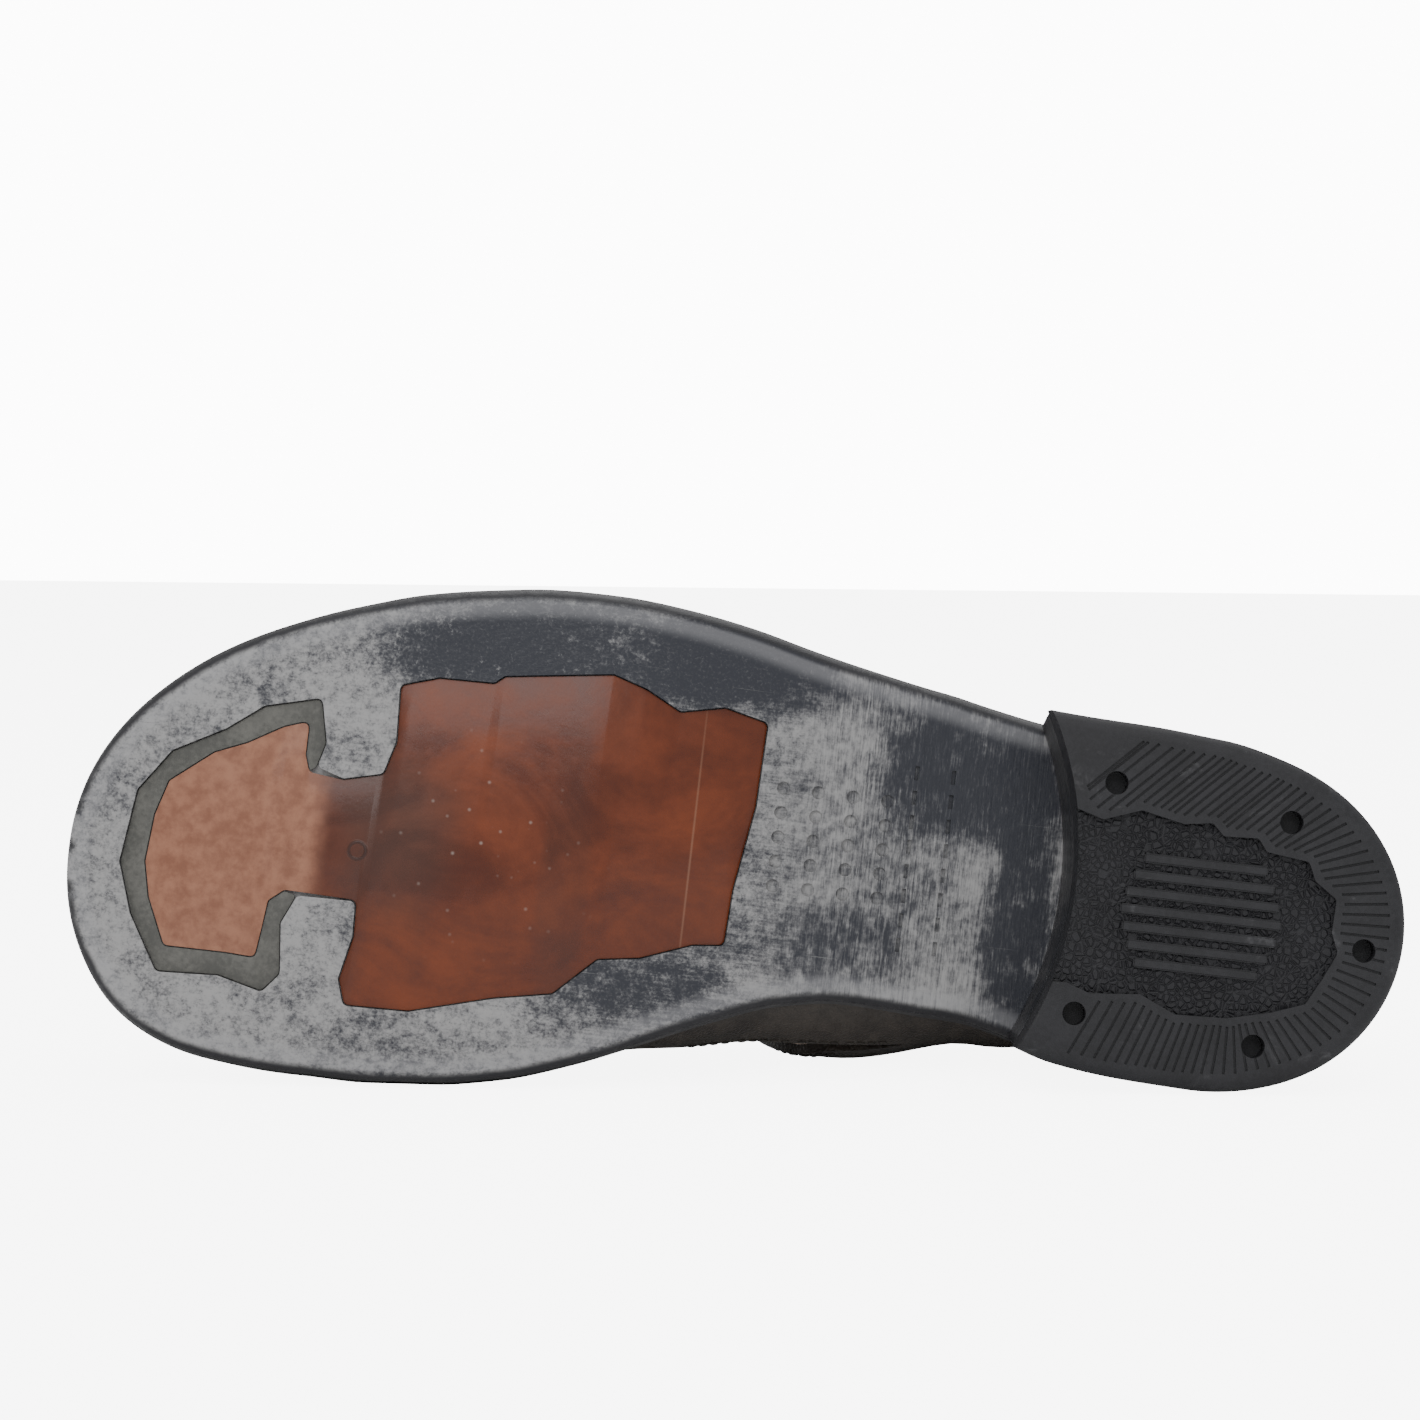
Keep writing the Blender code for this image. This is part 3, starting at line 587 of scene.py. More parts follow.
def topline_turn(station):
    """How far up the arch the wall goes: to the topline behind the throat, and to the ridge before it."""
    if station >= THROAT_AT:
        return math.pi / 2
    turn = math.radians(smooth(TOPLINE, station))
    past = max(0.0, (station - COLLAR_STRAIGHT_TO) / (THROAT_AT - COLLAR_STRAIGHT_TO))
    return math.acos(math.cos(turn) * math.sqrt(1 - past**2))


def upper_stations():
    """Stations closer together at the back, at the throat and at the toe, where the shape turns most."""
    straight, throat = COLLAR_STRAIGHT_TO, THROAT_AT
    quarter = math.pi / 2
    stations = [straight * (1 - math.cos(quarter * i / COLLAR_STEPS)) for i in range(COLLAR_STEPS)]
    for i in range(THROAT_STEPS):
        stations.append(straight + (throat - straight) * math.sin(quarter * i / THROAT_STEPS))
    for i in range(VAMP_STEPS + 1):
        stations.append(throat + (1 - throat) * math.sin(quarter * i / VAMP_STEPS))
    return stations


def wall_surface(name, sides, stations):
    """Open mesh of the last's surface from the feather line to the topline, faced outwards."""
    points = []
    faces = []
    row = WALL_STEPS + 1
    for side in sides:
        first = len(points)
        for station in stations:
            top = topline_turn(station)
            points += [last_point(station, side, top * k / WALL_STEPS) for k in range(row)]
        for i in range(len(stations) - 1):
            for k in range(WALL_STEPS):
                a = first + i * row + k
                patch = (a, a + row, a + row + 1, a + 1)
                faces.append(patch[::-1] if side > 0 else patch)
    return mesh_from(name, points, faces, closed=False)


def sink_surface(mesh, depth):
    """Moves an open surface inwards along its own normals, so that its facets stay parallel."""
    work = bmesh.new()
    work.from_mesh(mesh)
    work.normal_update()
    moves = [(vertex, vertex.normal * depth * vertex.calc_shell_factor()) for vertex in work.verts]
    for vertex, move in moves:
        vertex.co -= move
    work.to_mesh(mesh)
    work.free()


def thicken(target, thickness):
    shell = target.modifiers.new("wall", "SOLIDIFY")
    shell.thickness = thickness
    shell.offset = -1
    shell.use_even_offset = True


def gusset_form(name, side, lap, shallow, deep):
    """Curved slab over a gusset's opening, between two depths under the surface, widened by the lap."""
    lowest = GUSSET[0][0] - lap / (2 * BALL_RISE)
    highest = GUSSET[-1][0]
    widen = lap / SOLE_LENGTH
    count = GUSSET_STEPS + 1
    shares = [lowest + (highest - lowest) * (j / GUSSET_STEPS) ** 1.6 for j in range(count)]
    points = []
    for depth in (shallow, deep):
        for share in shares:
            rear = smooth(GUSSET_REAR, share) - widen
            front = min(smooth(GUSSET_FRONT, share) + widen, THROAT_AT - 0.004)
            for i in range(count):
                station = rear + (front - rear) * i / GUSSET_STEPS
                turn = min(share * topline_turn(station), math.radians(86))
                normal = last_normal(station, side, turn)
                points.append(last_point(station, side, turn) - normal * depth)
    layer = count * count
    faces = []
    for j in range(GUSSET_STEPS):
        for i in range(GUSSET_STEPS):
            a = j * count + i
            faces.append((a, a + 1, a + count + 1, a + count))
            faces.append((a + layer, a + layer + count, a + layer + count + 1, a + layer + 1))
    rim = [i for i in range(count)]
    rim += [j * count + GUSSET_STEPS for j in range(1, count)]
    rim += [GUSSET_STEPS * count + i for i in range(GUSSET_STEPS - 1, -1, -1)]
    rim += [j * count for j in range(GUSSET_STEPS - 1, 0, -1)]
    for a, b in zip(rim, rim[1:] + rim[:1]):
        faces.append((a, a + layer, b + layer, b))
    return mesh_from(name, points, faces)


# How the shoe lies on the floor: its long axis rises towards the toe, and its sole faces slightly up
LENGTH_TILT = 6.04
SOLE_TILT = 6.032
LIES_AT = (150.23 * MM, -42.69 * MM, 34.53 * MM)

# Camera: straight at the sole from a little above, with a long lens
CAMERA_AT = (-0.0049, -0.8368, 0.1258)
CAMERA_PITCH = 3.0
CAMERA_ROLL = 0.6
LENS = 91.2

# Light of the room on the shoe, and of the backdrop and the floor as seen
ROOM_LIGHT = 0.85
BACKDROP_LIGHT = 12.0
FLOOR_GLOW = 6.5

# Outsole's finish: how strongly its fibres show, and how much lighter it is at the toe
FIBRE_CONTRAST = 1.3
TOE_LIGHTENING = 0.16

# Fine relief
ROUND_STEPS = 6
EDGE_BAND = 14 * MM
STITCH_PITCH = 2.9 * MM
STITCH_LENGTH = 2.1 * MM
STITCH_RADIUS = 0.33 * MM
TOPLINE_CORD = 1.45 * MM
GROOVE_WIDTH = 0.6 * MM
GROOVE_PITCH = 2.15 * MM
GROOVE_DEPTH = 0.5 * MM
RIB_WIDTH = 2.2 * MM
RIB_PITCH = 5.4 * MM
RIB_HEIGHT = 0.9 * MM
MARK_DEPTH = 0.8 * MM

# Plain marks in the waist: a grid of dots and two rows of bars, by first place and pitch
DOTS_FROM = (117 * MM, -4 * MM)
DOT_PITCH = (8 * MM, 5.5 * MM)
DOT_ROWS = 4
DOTS_IN_ROW = 5
DOT_RADIUS = 1.5 * MM
BAR_ROWS = (102.5 * MM, 111 * MM)
BARS_FROM = -14 * MM
BAR_PITCH = 5.6 * MM
BARS_IN_ROW = 8
BAR_SIZE = (1.0 * MM, 3.2 * MM)

# Rows of stitches beside a gusset's edges, as stations off the edge, and under the topline
SEAM_OFFSETS = (0.0085, 0.0165)
SEAM_FRONT_SHARE = 0.55
TOPLINE_SEAM_DROP = 3.2 * MM
WELT_SEAM_INSET = 2.6 * MM

# Creases of the upper, given one by one: each is a trough across one side or over the vamp
CREASES = (
    # station, lean towards the ridge, share up the arch, half height, half width, depth
    (0.640, 0.030, 0.55, 0.30, 0.009, 0.9 * MM),
    (0.668, 0.022, 0.72, 0.34, 0.010, 1.2 * MM),
    (0.700, 0.012, 0.80, 0.30, 0.009, 1.0 * MM),
    (0.728, 0.004, 0.74, 0.22, 0.008, 0.7 * MM),
    (0.610, 0.040, 0.30, 0.22, 0.010, 0.8 * MM),
    (0.300, 0.020, 0.45, 0.30, 0.012, 0.7 * MM),
    (0.330, 0.015, 0.55, 0.25, 0.010, 0.6 * MM),
    (0.090, 0.010, 0.62, 0.25, 0.010, 0.5 * MM),
)

# Around the gussets' laps the wall stays smooth, so that it clears them
SMOOTH_FROM = 0.335
SMOOTH_TO = 0.590
SMOOTH_FADE = 0.025

# Grooves on the heel's rim: at a place round the heel's middle, the way that the grooves run, both in
# degrees as seen from below with the heel's back to the right
GROOVE_TURNS = (
    # place, direction
    (-132, -115),
    (-85, -100),
    (-60, -62),
    (-30, -30),
    (0, 0),
    (20, 12),
    (60, 45),
    (132, 45),
)
HEEL_MIDDLE = (45 * MM, 0.0)
RIM_RADIUS = 33 * MM
RIM_CLEAR_OUTSIDE = 3.6 * MM
RIM_CLEAR_INSIDE = 1.6 * MM
RIM_CLEAR_BREAST = 4.2 * MM


def lies():
    """Turn and place of the shoe, laid on its inner side."""
    length, sole = math.radians(LENGTH_TILT), math.radians(SOLE_TILT)
    forward = Vector((-math.cos(length), 0, math.sin(length)))
    level = Vector((math.sin(length), 0, math.cos(length)))
    up = Vector((0, 1, 0)) * math.cos(sole) - level * math.sin(sole)
    outward = up.cross(forward)
    turn = Matrix((forward, outward, up)).transposed().to_4x4()
    return Matrix.Translation(LIES_AT) @ turn


LIES = lies()


def settle(piece, sharp=32):
    """Applies the piece's modifiers and shades it smooth, with edges sharper than the angle left crisp."""
    bpy.context.view_layer.update()
    graph = bpy.context.evaluated_depsgraph_get()
    mesh = bpy.data.meshes.new_from_object(piece.evaluated_get(graph))
    piece.modifiers.clear()
    piece.data = mesh
    mesh.shade_smooth()
    mesh.set_sharp_from_angle(angle=math.radians(sharp))
    return piece


def piece_from(name, mesh, *materials):
    made = bpy.data.objects.new(name, mesh)
    bpy.context.scene.collection.objects.link(made)
    for material in materials:
        mesh.materials.append(material)
    return made


def hidden(name, mesh):
    made = piece_from(name, mesh)
    made.hide_render = True
    return made


def cut_away(target, name, mesh, operation="DIFFERENCE"):
    """Cuts a form out of the target, or joins it on with UNION, and removes the form."""
    cutter = hidden(name, mesh)
    cut(target, cutter, operation)
    settle(target)
    bpy.data.objects.remove(cutter)


def finished(piece, slot, *nodes):
    """Lays the piece down with the shoe and hides the nodes that it stands for. The slot is not used."""
    piece.matrix_world = LIES
    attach(piece, "root")
    if nodes:
        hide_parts(*nodes)
    return piece


def mark_edge(piece):
    """Stores each corner's distance in from the sole's outline, for the wear of the edge."""
    samples = [(i / 400, side) for i in range(401) for side in (1, -1)]
    tree = KDTree(len(samples))
    for i, (station, side) in enumerate(samples):
        along, across = edge_point(station, side, OUTSOLE_EDGE_INSET, flare=1.0)
        tree.insert((along, across, 0), i)
    tree.balance()
    attribute = piece.data.attributes.new("edge", "FLOAT", "POINT")
    for i, vertex in enumerate(piece.data.vertices):
        _, _, distance = tree.find((vertex.co.x, vertex.co.y, 0))
        attribute.data[i].value = min(distance / EDGE_BAND, 1.0)


def round_levels(edge, width, height, base, flare):
    """Levels of a rounded lower edge, from the flat underside up to the side."""
    levels = []
    for k in range(ROUND_STEPS + 1):
        angle = math.pi / 2 * k / ROUND_STEPS
        inset = edge + width * (1 - math.sin(angle))
        rise = height * (1 - math.cos(angle))
        levels.append((inset, flare, lambda along, rise=rise: base(along) + rise))
    return levels


def make_outsole(look):
    edge, width, height = OUTSOLE_EDGE_INSET, OUTSOLE_ROUND_WIDTH, OUTSOLE_ROUND_HEIGHT
    stations = cosine_stations(SOLE_STEPS)
    levels = [(edge + width + band * MM, 1.0, tread_height) for band in (11, 7.5, 5, 3, 1.5)]
    levels += round_levels(edge, width, height, tread_height, 1.0)
    levels.append((edge, 1.0, outsole_top))
    outsole = piece_from("outsole_worn", plate("outsole_worn", levels, stations), look)
    rungs = [i * 4 * MM for i in range(1, 75)]
    tread = stepped(tread_height, [0.0] + rungs + [SOLE_LENGTH])
    outline = corners(TOE_EDGE, BALL_WIDTH) + corners(MAIN_PANEL, BALL_WIDTH)
    recess = prism(
        "recess",
        grown(rounded(outline, INLAY_CORNER), FIT_GAP / 2),
        lambda along: tread(along) - OUTSOLE_THICKNESS,
        lambda along: tread(along) + INLAY_DEPTH,
        rungs,
    )
    cut_away(outsole, "recess", recess)
    cut_away(outsole, "marks", waist_marks())
    mark_edge(outsole)
    return finished(outsole, "worn_grey_sole", "outsole")


def waist_marks():
    """Plain pressed dots and short bars in the sole's waist."""
    work = bmesh.new()
    for row in range(DOT_ROWS):
        for place in range(DOTS_IN_ROW):
            along = DOTS_FROM[0] + DOT_PITCH[0] * row
            across = DOTS_FROM[1] + DOT_PITCH[1] * place
            at = Matrix.Translation((along, across, tread_height(along)))
            bmesh.ops.create_cone(
                work,
                cap_ends=True,
                segments=20,
                radius1=DOT_RADIUS,
                radius2=DOT_RADIUS,
                depth=2 * MARK_DEPTH,
                matrix=at,
            )
    for along in BAR_ROWS:
        for place in range(BARS_IN_ROW):
            at = Matrix.Translation((along, BARS_FROM + BAR_PITCH * place, tread_height(along)))
            size = Matrix.Diagonal((*BAR_SIZE, 2 * MARK_DEPTH, 1))
            bmesh.ops.create_cube(work, size=1, matrix=at @ size)
    mesh = bpy.data.meshes.new("marks")
    work.to_mesh(mesh)
    work.free()
    return mesh


def make_inlays(amber, olive):
    stations = [i * 3 * MM for i in range(1, 100)]
    toe_edge = corners(TOE_EDGE, BALL_WIDTH)
    toe_lobe = corners(TOE_LOBE, BALL_WIDTH)
    main_panel = corners(MAIN_PANEL, BALL_WIDTH)
    looks = (
        ("inlay_glossy", toe_lobe + main_panel, amber, "amber_inlay", "inlay"),
        ("inlay_border_matt", toe_edge + toe_lobe[::-1], olive, "olive_border", "inlay_border"),
    )
    for name, outline, look, slot, node in looks:
        shape = prism(
            name,
            grown(rounded(outline, INLAY_CORNER), -FIT_GAP / 2),
            lambda along: tread_height(along) + INLAY_SUNK,
            lambda along: tread_height(along) + INLAY_DEPTH - FIT_GAP,
            stations,
        )
        piece = piece_from(name, shape, look)
        bevel = piece.modifiers.new("edge", "BEVEL")
        bevel.width = 0.3 * MM
        bevel.segments = 2
        bevel.angle_limit = math.radians(50)
        finished(settle(piece), slot, node)


def make_midsole(look, thread):
    chamfer = MIDSOLE_CHAMFER
    levels = [(chamfer, 1.0, lambda along: outsole_top(along) + FIT_GAP)]
    levels += [(0.0, 1.0, lambda along: outsole_top(along) + FIT_GAP + chamfer)]
    levels += [(0.0, 1.0, lambda along: seat_height(along) - chamfer)]
    levels += [(chamfer, 1.0, seat_height)]
    mesh = plate("welt_black", levels, cosine_stations(SOLE_STEPS))
    finished(settle(piece_from("welt_black", mesh, look)), "black_edge", "midsole")
    path = []
    for side in (1, -1):
        run = []
        for i in range(300):
            station = 0.03 + 0.97 * i / 299
            along, across = edge_point(station, side, WELT_SEAM_INSET, flare=1.0)
            run.append(Vector((along, across, seat_height(along) + STITCH_RADIUS * 0.5)))
        path += run if side > 0 else run[::-1]
    finished(piece_from("welt_stitches", stitches("welt_stitches", path), thread), "black_edge")


def stitches(name, path, pitch=STITCH_PITCH):
    """Joined mesh of short thread stitches along a path of points."""
    work = bmesh.new()
    since = 0.0
    for before, after in zip(path, path[1:]):
        step = after - before
        if step.length == 0 or step.length > 8 * pitch:
            continue
        since += step.length
        if since < pitch:
            continue
        since -= pitch
        turn = step.to_track_quat("Z", "Y").to_matrix().to_4x4()
        size = Matrix.Diagonal((STITCH_RADIUS, STITCH_RADIUS, STITCH_LENGTH / 2, 1))
        at = Matrix.Translation(after) @ turn @ size
        bmesh.ops.create_uvsphere(work, u_segments=8, v_segments=6, radius=1, matrix=at)
    mesh = bpy.data.meshes.new(name)
    work.to_mesh(mesh)
    work.free()
    mesh.shade_smooth()
    return mesh


def tube(name, path, radius, sides=10):
    """Round cord along a path of points, its ends closed."""
    points, faces = [], []
    for i, place in enumerate(path):
        ahead = path[min(i + 1, len(path) - 1)] - path[max(i - 1, 0)]
        turn = ahead.to_track_quat("Z", "Y")
        for k in range(sides):
            angle = 2 * math.pi * k / sides
            points.append(place + turn @ Vector((math.cos(angle) * radius, math.sin(angle) * radius, 0)))
    for i in range(len(path) - 1):
        for k in range(sides):
            a, b = i * sides + k, i * sides + (k + 1) % sides
            faces.append((a, b, b + sides, a + sides))
    faces.append(tuple(range(sides))[::-1])
    faces.append(tuple(range((len(path) - 1) * sides, len(path) * sides)))
    mesh = bpy.data.meshes.new(name)
    mesh.from_pydata(points, [], faces)
    mesh.shade_smooth()
    return mesh


def breast_mesh(name):
    work = bmesh.new()
    slope = Matrix.Rotation(math.radians(BREAST_SLOPE), 4, "Y")
    place = Matrix.Translation((BREAST_AT + BREAST_RADIUS, BREAST_AXIS_Y, HEEL_HEIGHT)) @ slope
    bmesh.ops.create_cone(
        work, cap_ends=True, segments=320, radius1=BREAST_RADIUS, radius2=BREAST_RADIUS,
        depth=3 * HEEL_HEIGHT, matrix=place,
    )
    mesh = bpy.data.meshes.new(name)
    work.to_mesh(mesh)
    work.free()
    return mesh


def on_rim(along, across, recess):
    """Whether a place of the tread lies on the rim between the recess and the rounded edge."""
    inset = TOP_LIFT_INSET + RIM_CLEAR_OUTSIDE
    station = (along - inset) / (SOLE_LENGTH - inset)
    if station <= 0:
        return False
    if abs(across) > abs(edge_point(station, 1 if across > 0 else -1, inset)[1]):
        return False
    aside = across - BREAST_AXIS_Y
    breast = BREAST_AT + BREAST_RADIUS - math.sqrt(BREAST_RADIUS**2 - aside**2)
    if along > breast - RIM_CLEAR_BREAST:
        return False
    crossings = 0
    for a, b in zip(recess, recess[1:] + recess[:1]):
        if (a.y > across) != (b.y > across) and along < a.x + (b.x - a.x) * (across - a.y) / (b.y - a.y):
            crossings += 1
    return crossings % 2 == 0


def rim_grooves():
    """Thin boxes that cut the slanted grooves of the heel's rim."""
    recess = grown(rounded(corners(HEEL_RECESS, HEEL_WIDTH), RECESS_CORNER), RIM_CLEAR_INSIDE)
    first, last = GROOVE_TURNS[0][0], GROOVE_TURNS[-1][0]
    count = int(math.radians(last - first) * RIM_RADIUS / GROOVE_PITCH)
    work = bmesh.new()
    for i in range(count + 1):
        around = first + (last - first) * i / count
        outward = Vector((-math.cos(math.radians(around)), math.sin(math.radians(around))))
        middle_at = [
            distance * MM
            for distance in range(14, 48)
            if on_rim(*(Vector(HEEL_MIDDLE) + outward * distance * MM), recess)
        ]
        if not middle_at:
            continue
        centre = Vector(HEEL_MIDDLE) + outward * (middle_at[0] + middle_at[-1]) / 2
        slant = math.radians(smooth(GROOVE_TURNS, around))
        run = Vector((-math.cos(slant), math.sin(slant)))
        ends = []
        for way in (1, -1):
            length = 0.0
            while length < 14 * MM and on_rim(*(centre + run * way * (length + 0.3 * MM)), recess):
                length += 0.3 * MM
            ends.append(centre + run * way * length)
        span = (ends[0] - ends[1]).length
        if span < 2 * MM:
            continue
        at = Matrix.Translation(((ends[0] + ends[1]) / 2).to_3d())
        turn = Matrix.Rotation(math.atan2(run.y, run.x), 4, "Z")
        size = Matrix.Diagonal((span, GROOVE_WIDTH, 2 * GROOVE_DEPTH, 1))
        bmesh.ops.create_cube(work, size=1, matrix=at @ turn @ size)
    mesh = bpy.data.meshes.new("rim_grooves")
    work.to_mesh(mesh)
    work.free()
    return mesh


def recess_ribs():
    """Plain raised ribs across the middle of the heel's recess."""
    work = bmesh.new()
    for i in range(7):
        across = (i - 3) * RIB_PITCH * 0.72
        length = (36 - 1.6 * abs(i - 3) ** 1.5) * MM
        at = Matrix.Translation((46 * MM, across, TOP_LIFT_RECESS))
        size = Matrix.Diagonal((length, RIB_WIDTH, 2 * RIB_HEIGHT, 1))
        bmesh.ops.create_cube(work, size=1, matrix=at @ size)
    bmesh.ops.bevel(
        work,
        geom=work.edges[:] + work.verts[:],
        offset=0.35 * MM,
        segments=2,
        affect="EDGES",
        clamp_overlap=True,
    )
    mesh = bpy.data.meshes.new("recess_ribs")
    work.to_mesh(mesh)
    work.free()
    return mesh


def make_heel(black, rubber, pebbled):
    stations = cosine_stations(HEEL_STEPS, HEEL_PLATES_TO)
    inset = HEEL_BLOCK_INSET
    block_levels = [
        (inset, 0.0, lambda along: TOP_LIFT_THICKNESS + FIT_GAP),
        (inset, 1.0, lambda along: tread_height(along) - FIT_GAP),
    ]
    block = piece_from("heel_stack", plate("heel_stack", block_levels, stations), black)
    cut_away(block, "breast", breast_mesh("breast"))
    finished(block, "black_edge", "heel_block")

    edge, width, height = TOP_LIFT_INSET, TOP_LIFT_ROUND_WIDTH, TOP_LIFT_ROUND_HEIGHT
    levels = round_levels(edge, width, height, lambda along: 0.0, 0.0)
    levels.append((edge, 0.0, lambda along: TOP_LIFT_THICKNESS))
    lift = piece_from("heel_rubber_lift", plate("heel_rubber_lift", levels, stations), rubber, pebbled)
    cut_away(lift, "breast", breast_mesh("breast"))
    cut_away(lift, "rim_grooves", rim_grooves())
    outline = rounded(corners(HEEL_RECESS, HEEL_WIDTH), RECESS_CORNER)
    recess = prism("heel_recess", outline, lambda along: -TOP_LIFT_RECESS, lambda along: TOP_LIFT_RECESS)
    cut_away(lift, "heel_recess", recess)
    work = bmesh.new()
    for along, across in corners(NAIL_HOLES, HEEL_WIDTH):
        bmesh.ops.create_cone(
            work, cap_ends=True, segments=40, radius1=NAIL_HOLE_RADIUS, radius2=NAIL_HOLE_RADIUS,
            depth=2 * NAIL_HOLE_DEPTH, matrix=Matrix.Translation((along, across, 0)),
        )
    holes = bpy.data.meshes.new("nail_holes")
    work.to_mesh(holes)
    work.free()
    cut_away(lift, "nail_holes", holes)
    cut_away(lift, "recess_ribs", recess_ribs(), "UNION")
    for face in lift.data.polygons:
        if abs(face.center.z - TOP_LIFT_RECESS) < 0.05 * MM and face.normal.z < -0.5:
            face.material_index = 1
    finished(lift, "heel_rubber", "heel_top_lift")


def crease_at(station, share):
    """Depth of the creases at a place of the upper's wall."""
    depth = 0.0
    for centre, lean, middle_share, half_height, half_width, deepest in CREASES:
        off = (station - centre - lean * (share - middle_share)) / half_width
        up = (share - middle_share) / half_height
        if abs(off) > 3.2 or abs(up) > 1.6:
            continue
        trough = math.exp(-off * off) - 0.45 * math.exp(-((abs(off) - 1.7) ** 2) * 1.6)
        depth += deepest * trough * math.exp(-up * up * 1.4)
    aside = max(SMOOTH_FROM - station, station - SMOOTH_TO, 0.0)
    return depth * min(1.0, aside / SMOOTH_FADE)


def worn_point(station, side, turn, lift=0.0):
    """Point of the upper's outer face with its creases, or raised over it by the lift."""
    share = turn / (math.pi / 2)
    place = last_point(station, side, turn)
    depth = crease_at(station, share) * end_rounding(station) if 0.02 < station < 0.98 else 0.0
    if depth or lift:
        if 0.01 < station < 0.99:
            steady = min(max(turn, 0.01), 1.55)
            place = place + last_normal(station, side, steady) * (lift - depth)
    return place


def worn_wall(name, sides, stations, steps):
    """Open mesh of the creased upper from the feather line to the topline, faced outwards."""
    points, faces = [], []
    row = steps + 1
    for side in sides:
        first = len(points)
        for station in stations:
            top = topline_turn(station)
            points += [worn_point(station, side, top * k / steps) for k in range(row)]
        for i in range(len(stations) - 1):
            for k in range(steps):
                a = first + i * row + k
                patch = (a, a + row, a + row + 1, a + 1)
                faces.append(patch[::-1] if side > 0 else patch)
    return mesh_from(name, points, faces, closed=False)


def make_upper(leather, lining, edge_look, ribbed_panel, thread):
    stations = upper_stations()
    wall = worn_wall("upper_leather", (1, -1), stations, WALL_STEPS)
    upper = piece_from("upper_leather", wall, leather, lining, edge_look)
    thicken(upper, UPPER_WALL)
    shell = upper.modifiers["wall"]
    shell.material_offset = 1
    shell.material_offset_rim = 2
    settle(upper)
    low = min(rear for _, rear, _ in GUSSET) - 3 * GUSSET_LAP / SOLE_LENGTH
    high = THROAT_AT + 3 * GUSSET_LAP / SOLE_LENGTH
    near = [station for station in stations if low < station < high]
    depth = UPPER_WALL + GUSSET_GAP
    for side, place in ((1, "outer"), (-1, "inner")):
        opening = gusset_form("opening_" + place, side, 0.0, -UPPER_WALL, 2 * UPPER_WALL)
        cut_away(upper, "opening_" + place, opening)
        # A black panel with fine ribs fills the opening, sunk under the wall and reaching past the opening's
        # edges by the lap.
        name = "ribbed_panel_" + place
        surface = wall_surface(name, (side,), near)
        sink_surface(surface, depth)
        gusset = piece_from(name, surface, ribbed_panel)
        thicken(gusset, GUSSET_THICKNESS)
        settle(gusset)
        bounds = gusset_form(name + "_bounds", side, GUSSET_LAP, 0.0, depth + 3 * GUSSET_THICKNESS)
        cut_away(gusset, name + "_bounds", bounds, "INTERSECT")
        finished(gusset, "black_elastic", "gusset_" + place)
        seam_paths(side, place, thread, edge_look)
    finished(upper, "brown_leather", "upper")


def seam_paths(side, place, thread, cord_look):
    """Stitch rows beside the gusset's edges and under the topline, and the topline's turned edge."""
    shares = [0.27 + 0.72 * i / 60 for i in range(61)]
    rows = []
    for offset in SEAM_OFFSETS:
        rear = [(smooth(GUSSET_REAR, share) - offset, share) for share in shares]
        front = [(smooth(GUSSET_FRONT, share) + offset * SEAM_FRONT_SHARE, share) for share in shares]
        rows += [rear, front]
    foot = [(0.350 + 0.175 * i / 40, 0.155) for i in range(41)]
    rows.append(foot)
    path = []
    for row in rows:
        for station, share in row:
            turn = min(share, 0.995) * topline_turn(min(station, THROAT_AT - 0.001))
            path.append(worn_point(station, side, turn, lift=STITCH_RADIUS * 0.35))
        path.append(path[-1] + Vector((0, 0, 1)))
    rim = [0.004 + 0.476 * i / 160 for i in range(161)]
    for station in rim:
        drop = TOPLINE_SEAM_DROP / max(seat_rise(station), MM)
        path.append(worn_point(station, side, topline_turn(station) * (1 - drop), lift=STITCH_RADIUS * 0.35))
    seams = stitches("seam_stitches_" + place, path)
    finished(piece_from("seam_stitches_" + place, seams, thread), "brown_leather")
    gusset_front = GUSSET[-1][2]
    throat = [gusset_front + (THROAT_AT - gusset_front) * i / 24 for i in range(25)]
    for name, run in (("topline_edge_", rim), ("throat_edge_", throat)):
        cord = []
        for station in run:
            turn = topline_turn(station)
            place_at = last_point(station, side, turn)
            if 0.01 < station:
                place_at = place_at - last_normal(station, side, min(turn, 1.5)) * (UPPER_WALL / 2)
            else:
                place_at = place_at + Vector((UPPER_WALL / 2, 0, 0))
            cord.append(place_at)
        mesh = tube(name + place, cord, TOPLINE_CORD)
        finished(piece_from(name + place, mesh, cord_look), "brown_leather")


def seat_rise(station):
    """Height of the wall's topline over its foot."""
    top = last_point(station, 1, topline_turn(station))
    return (top - last_point(station, 1, 0.0)).length


def make_insole(tan):
    inset = UPPER_WALL + INSOLE_GAP
    top = FIT_GAP + INSOLE_THICKNESS
    levels = [(inset, 1.0, lambda along: seat_height(along) + FIT_GAP)]
    levels += [(inset, 1.0, lambda along: seat_height(along) + top - 0.6 * MM)]
    levels += [(inset + 0.6 * MM, 1.0, lambda along: seat_height(along) + top)]
    mesh = plate("insole_tan", levels, cosine_stations(SOLE_STEPS), feather=1.0)
    finished(settle(piece_from("insole_tan", mesh, tan)), "tan_insole", "insole")


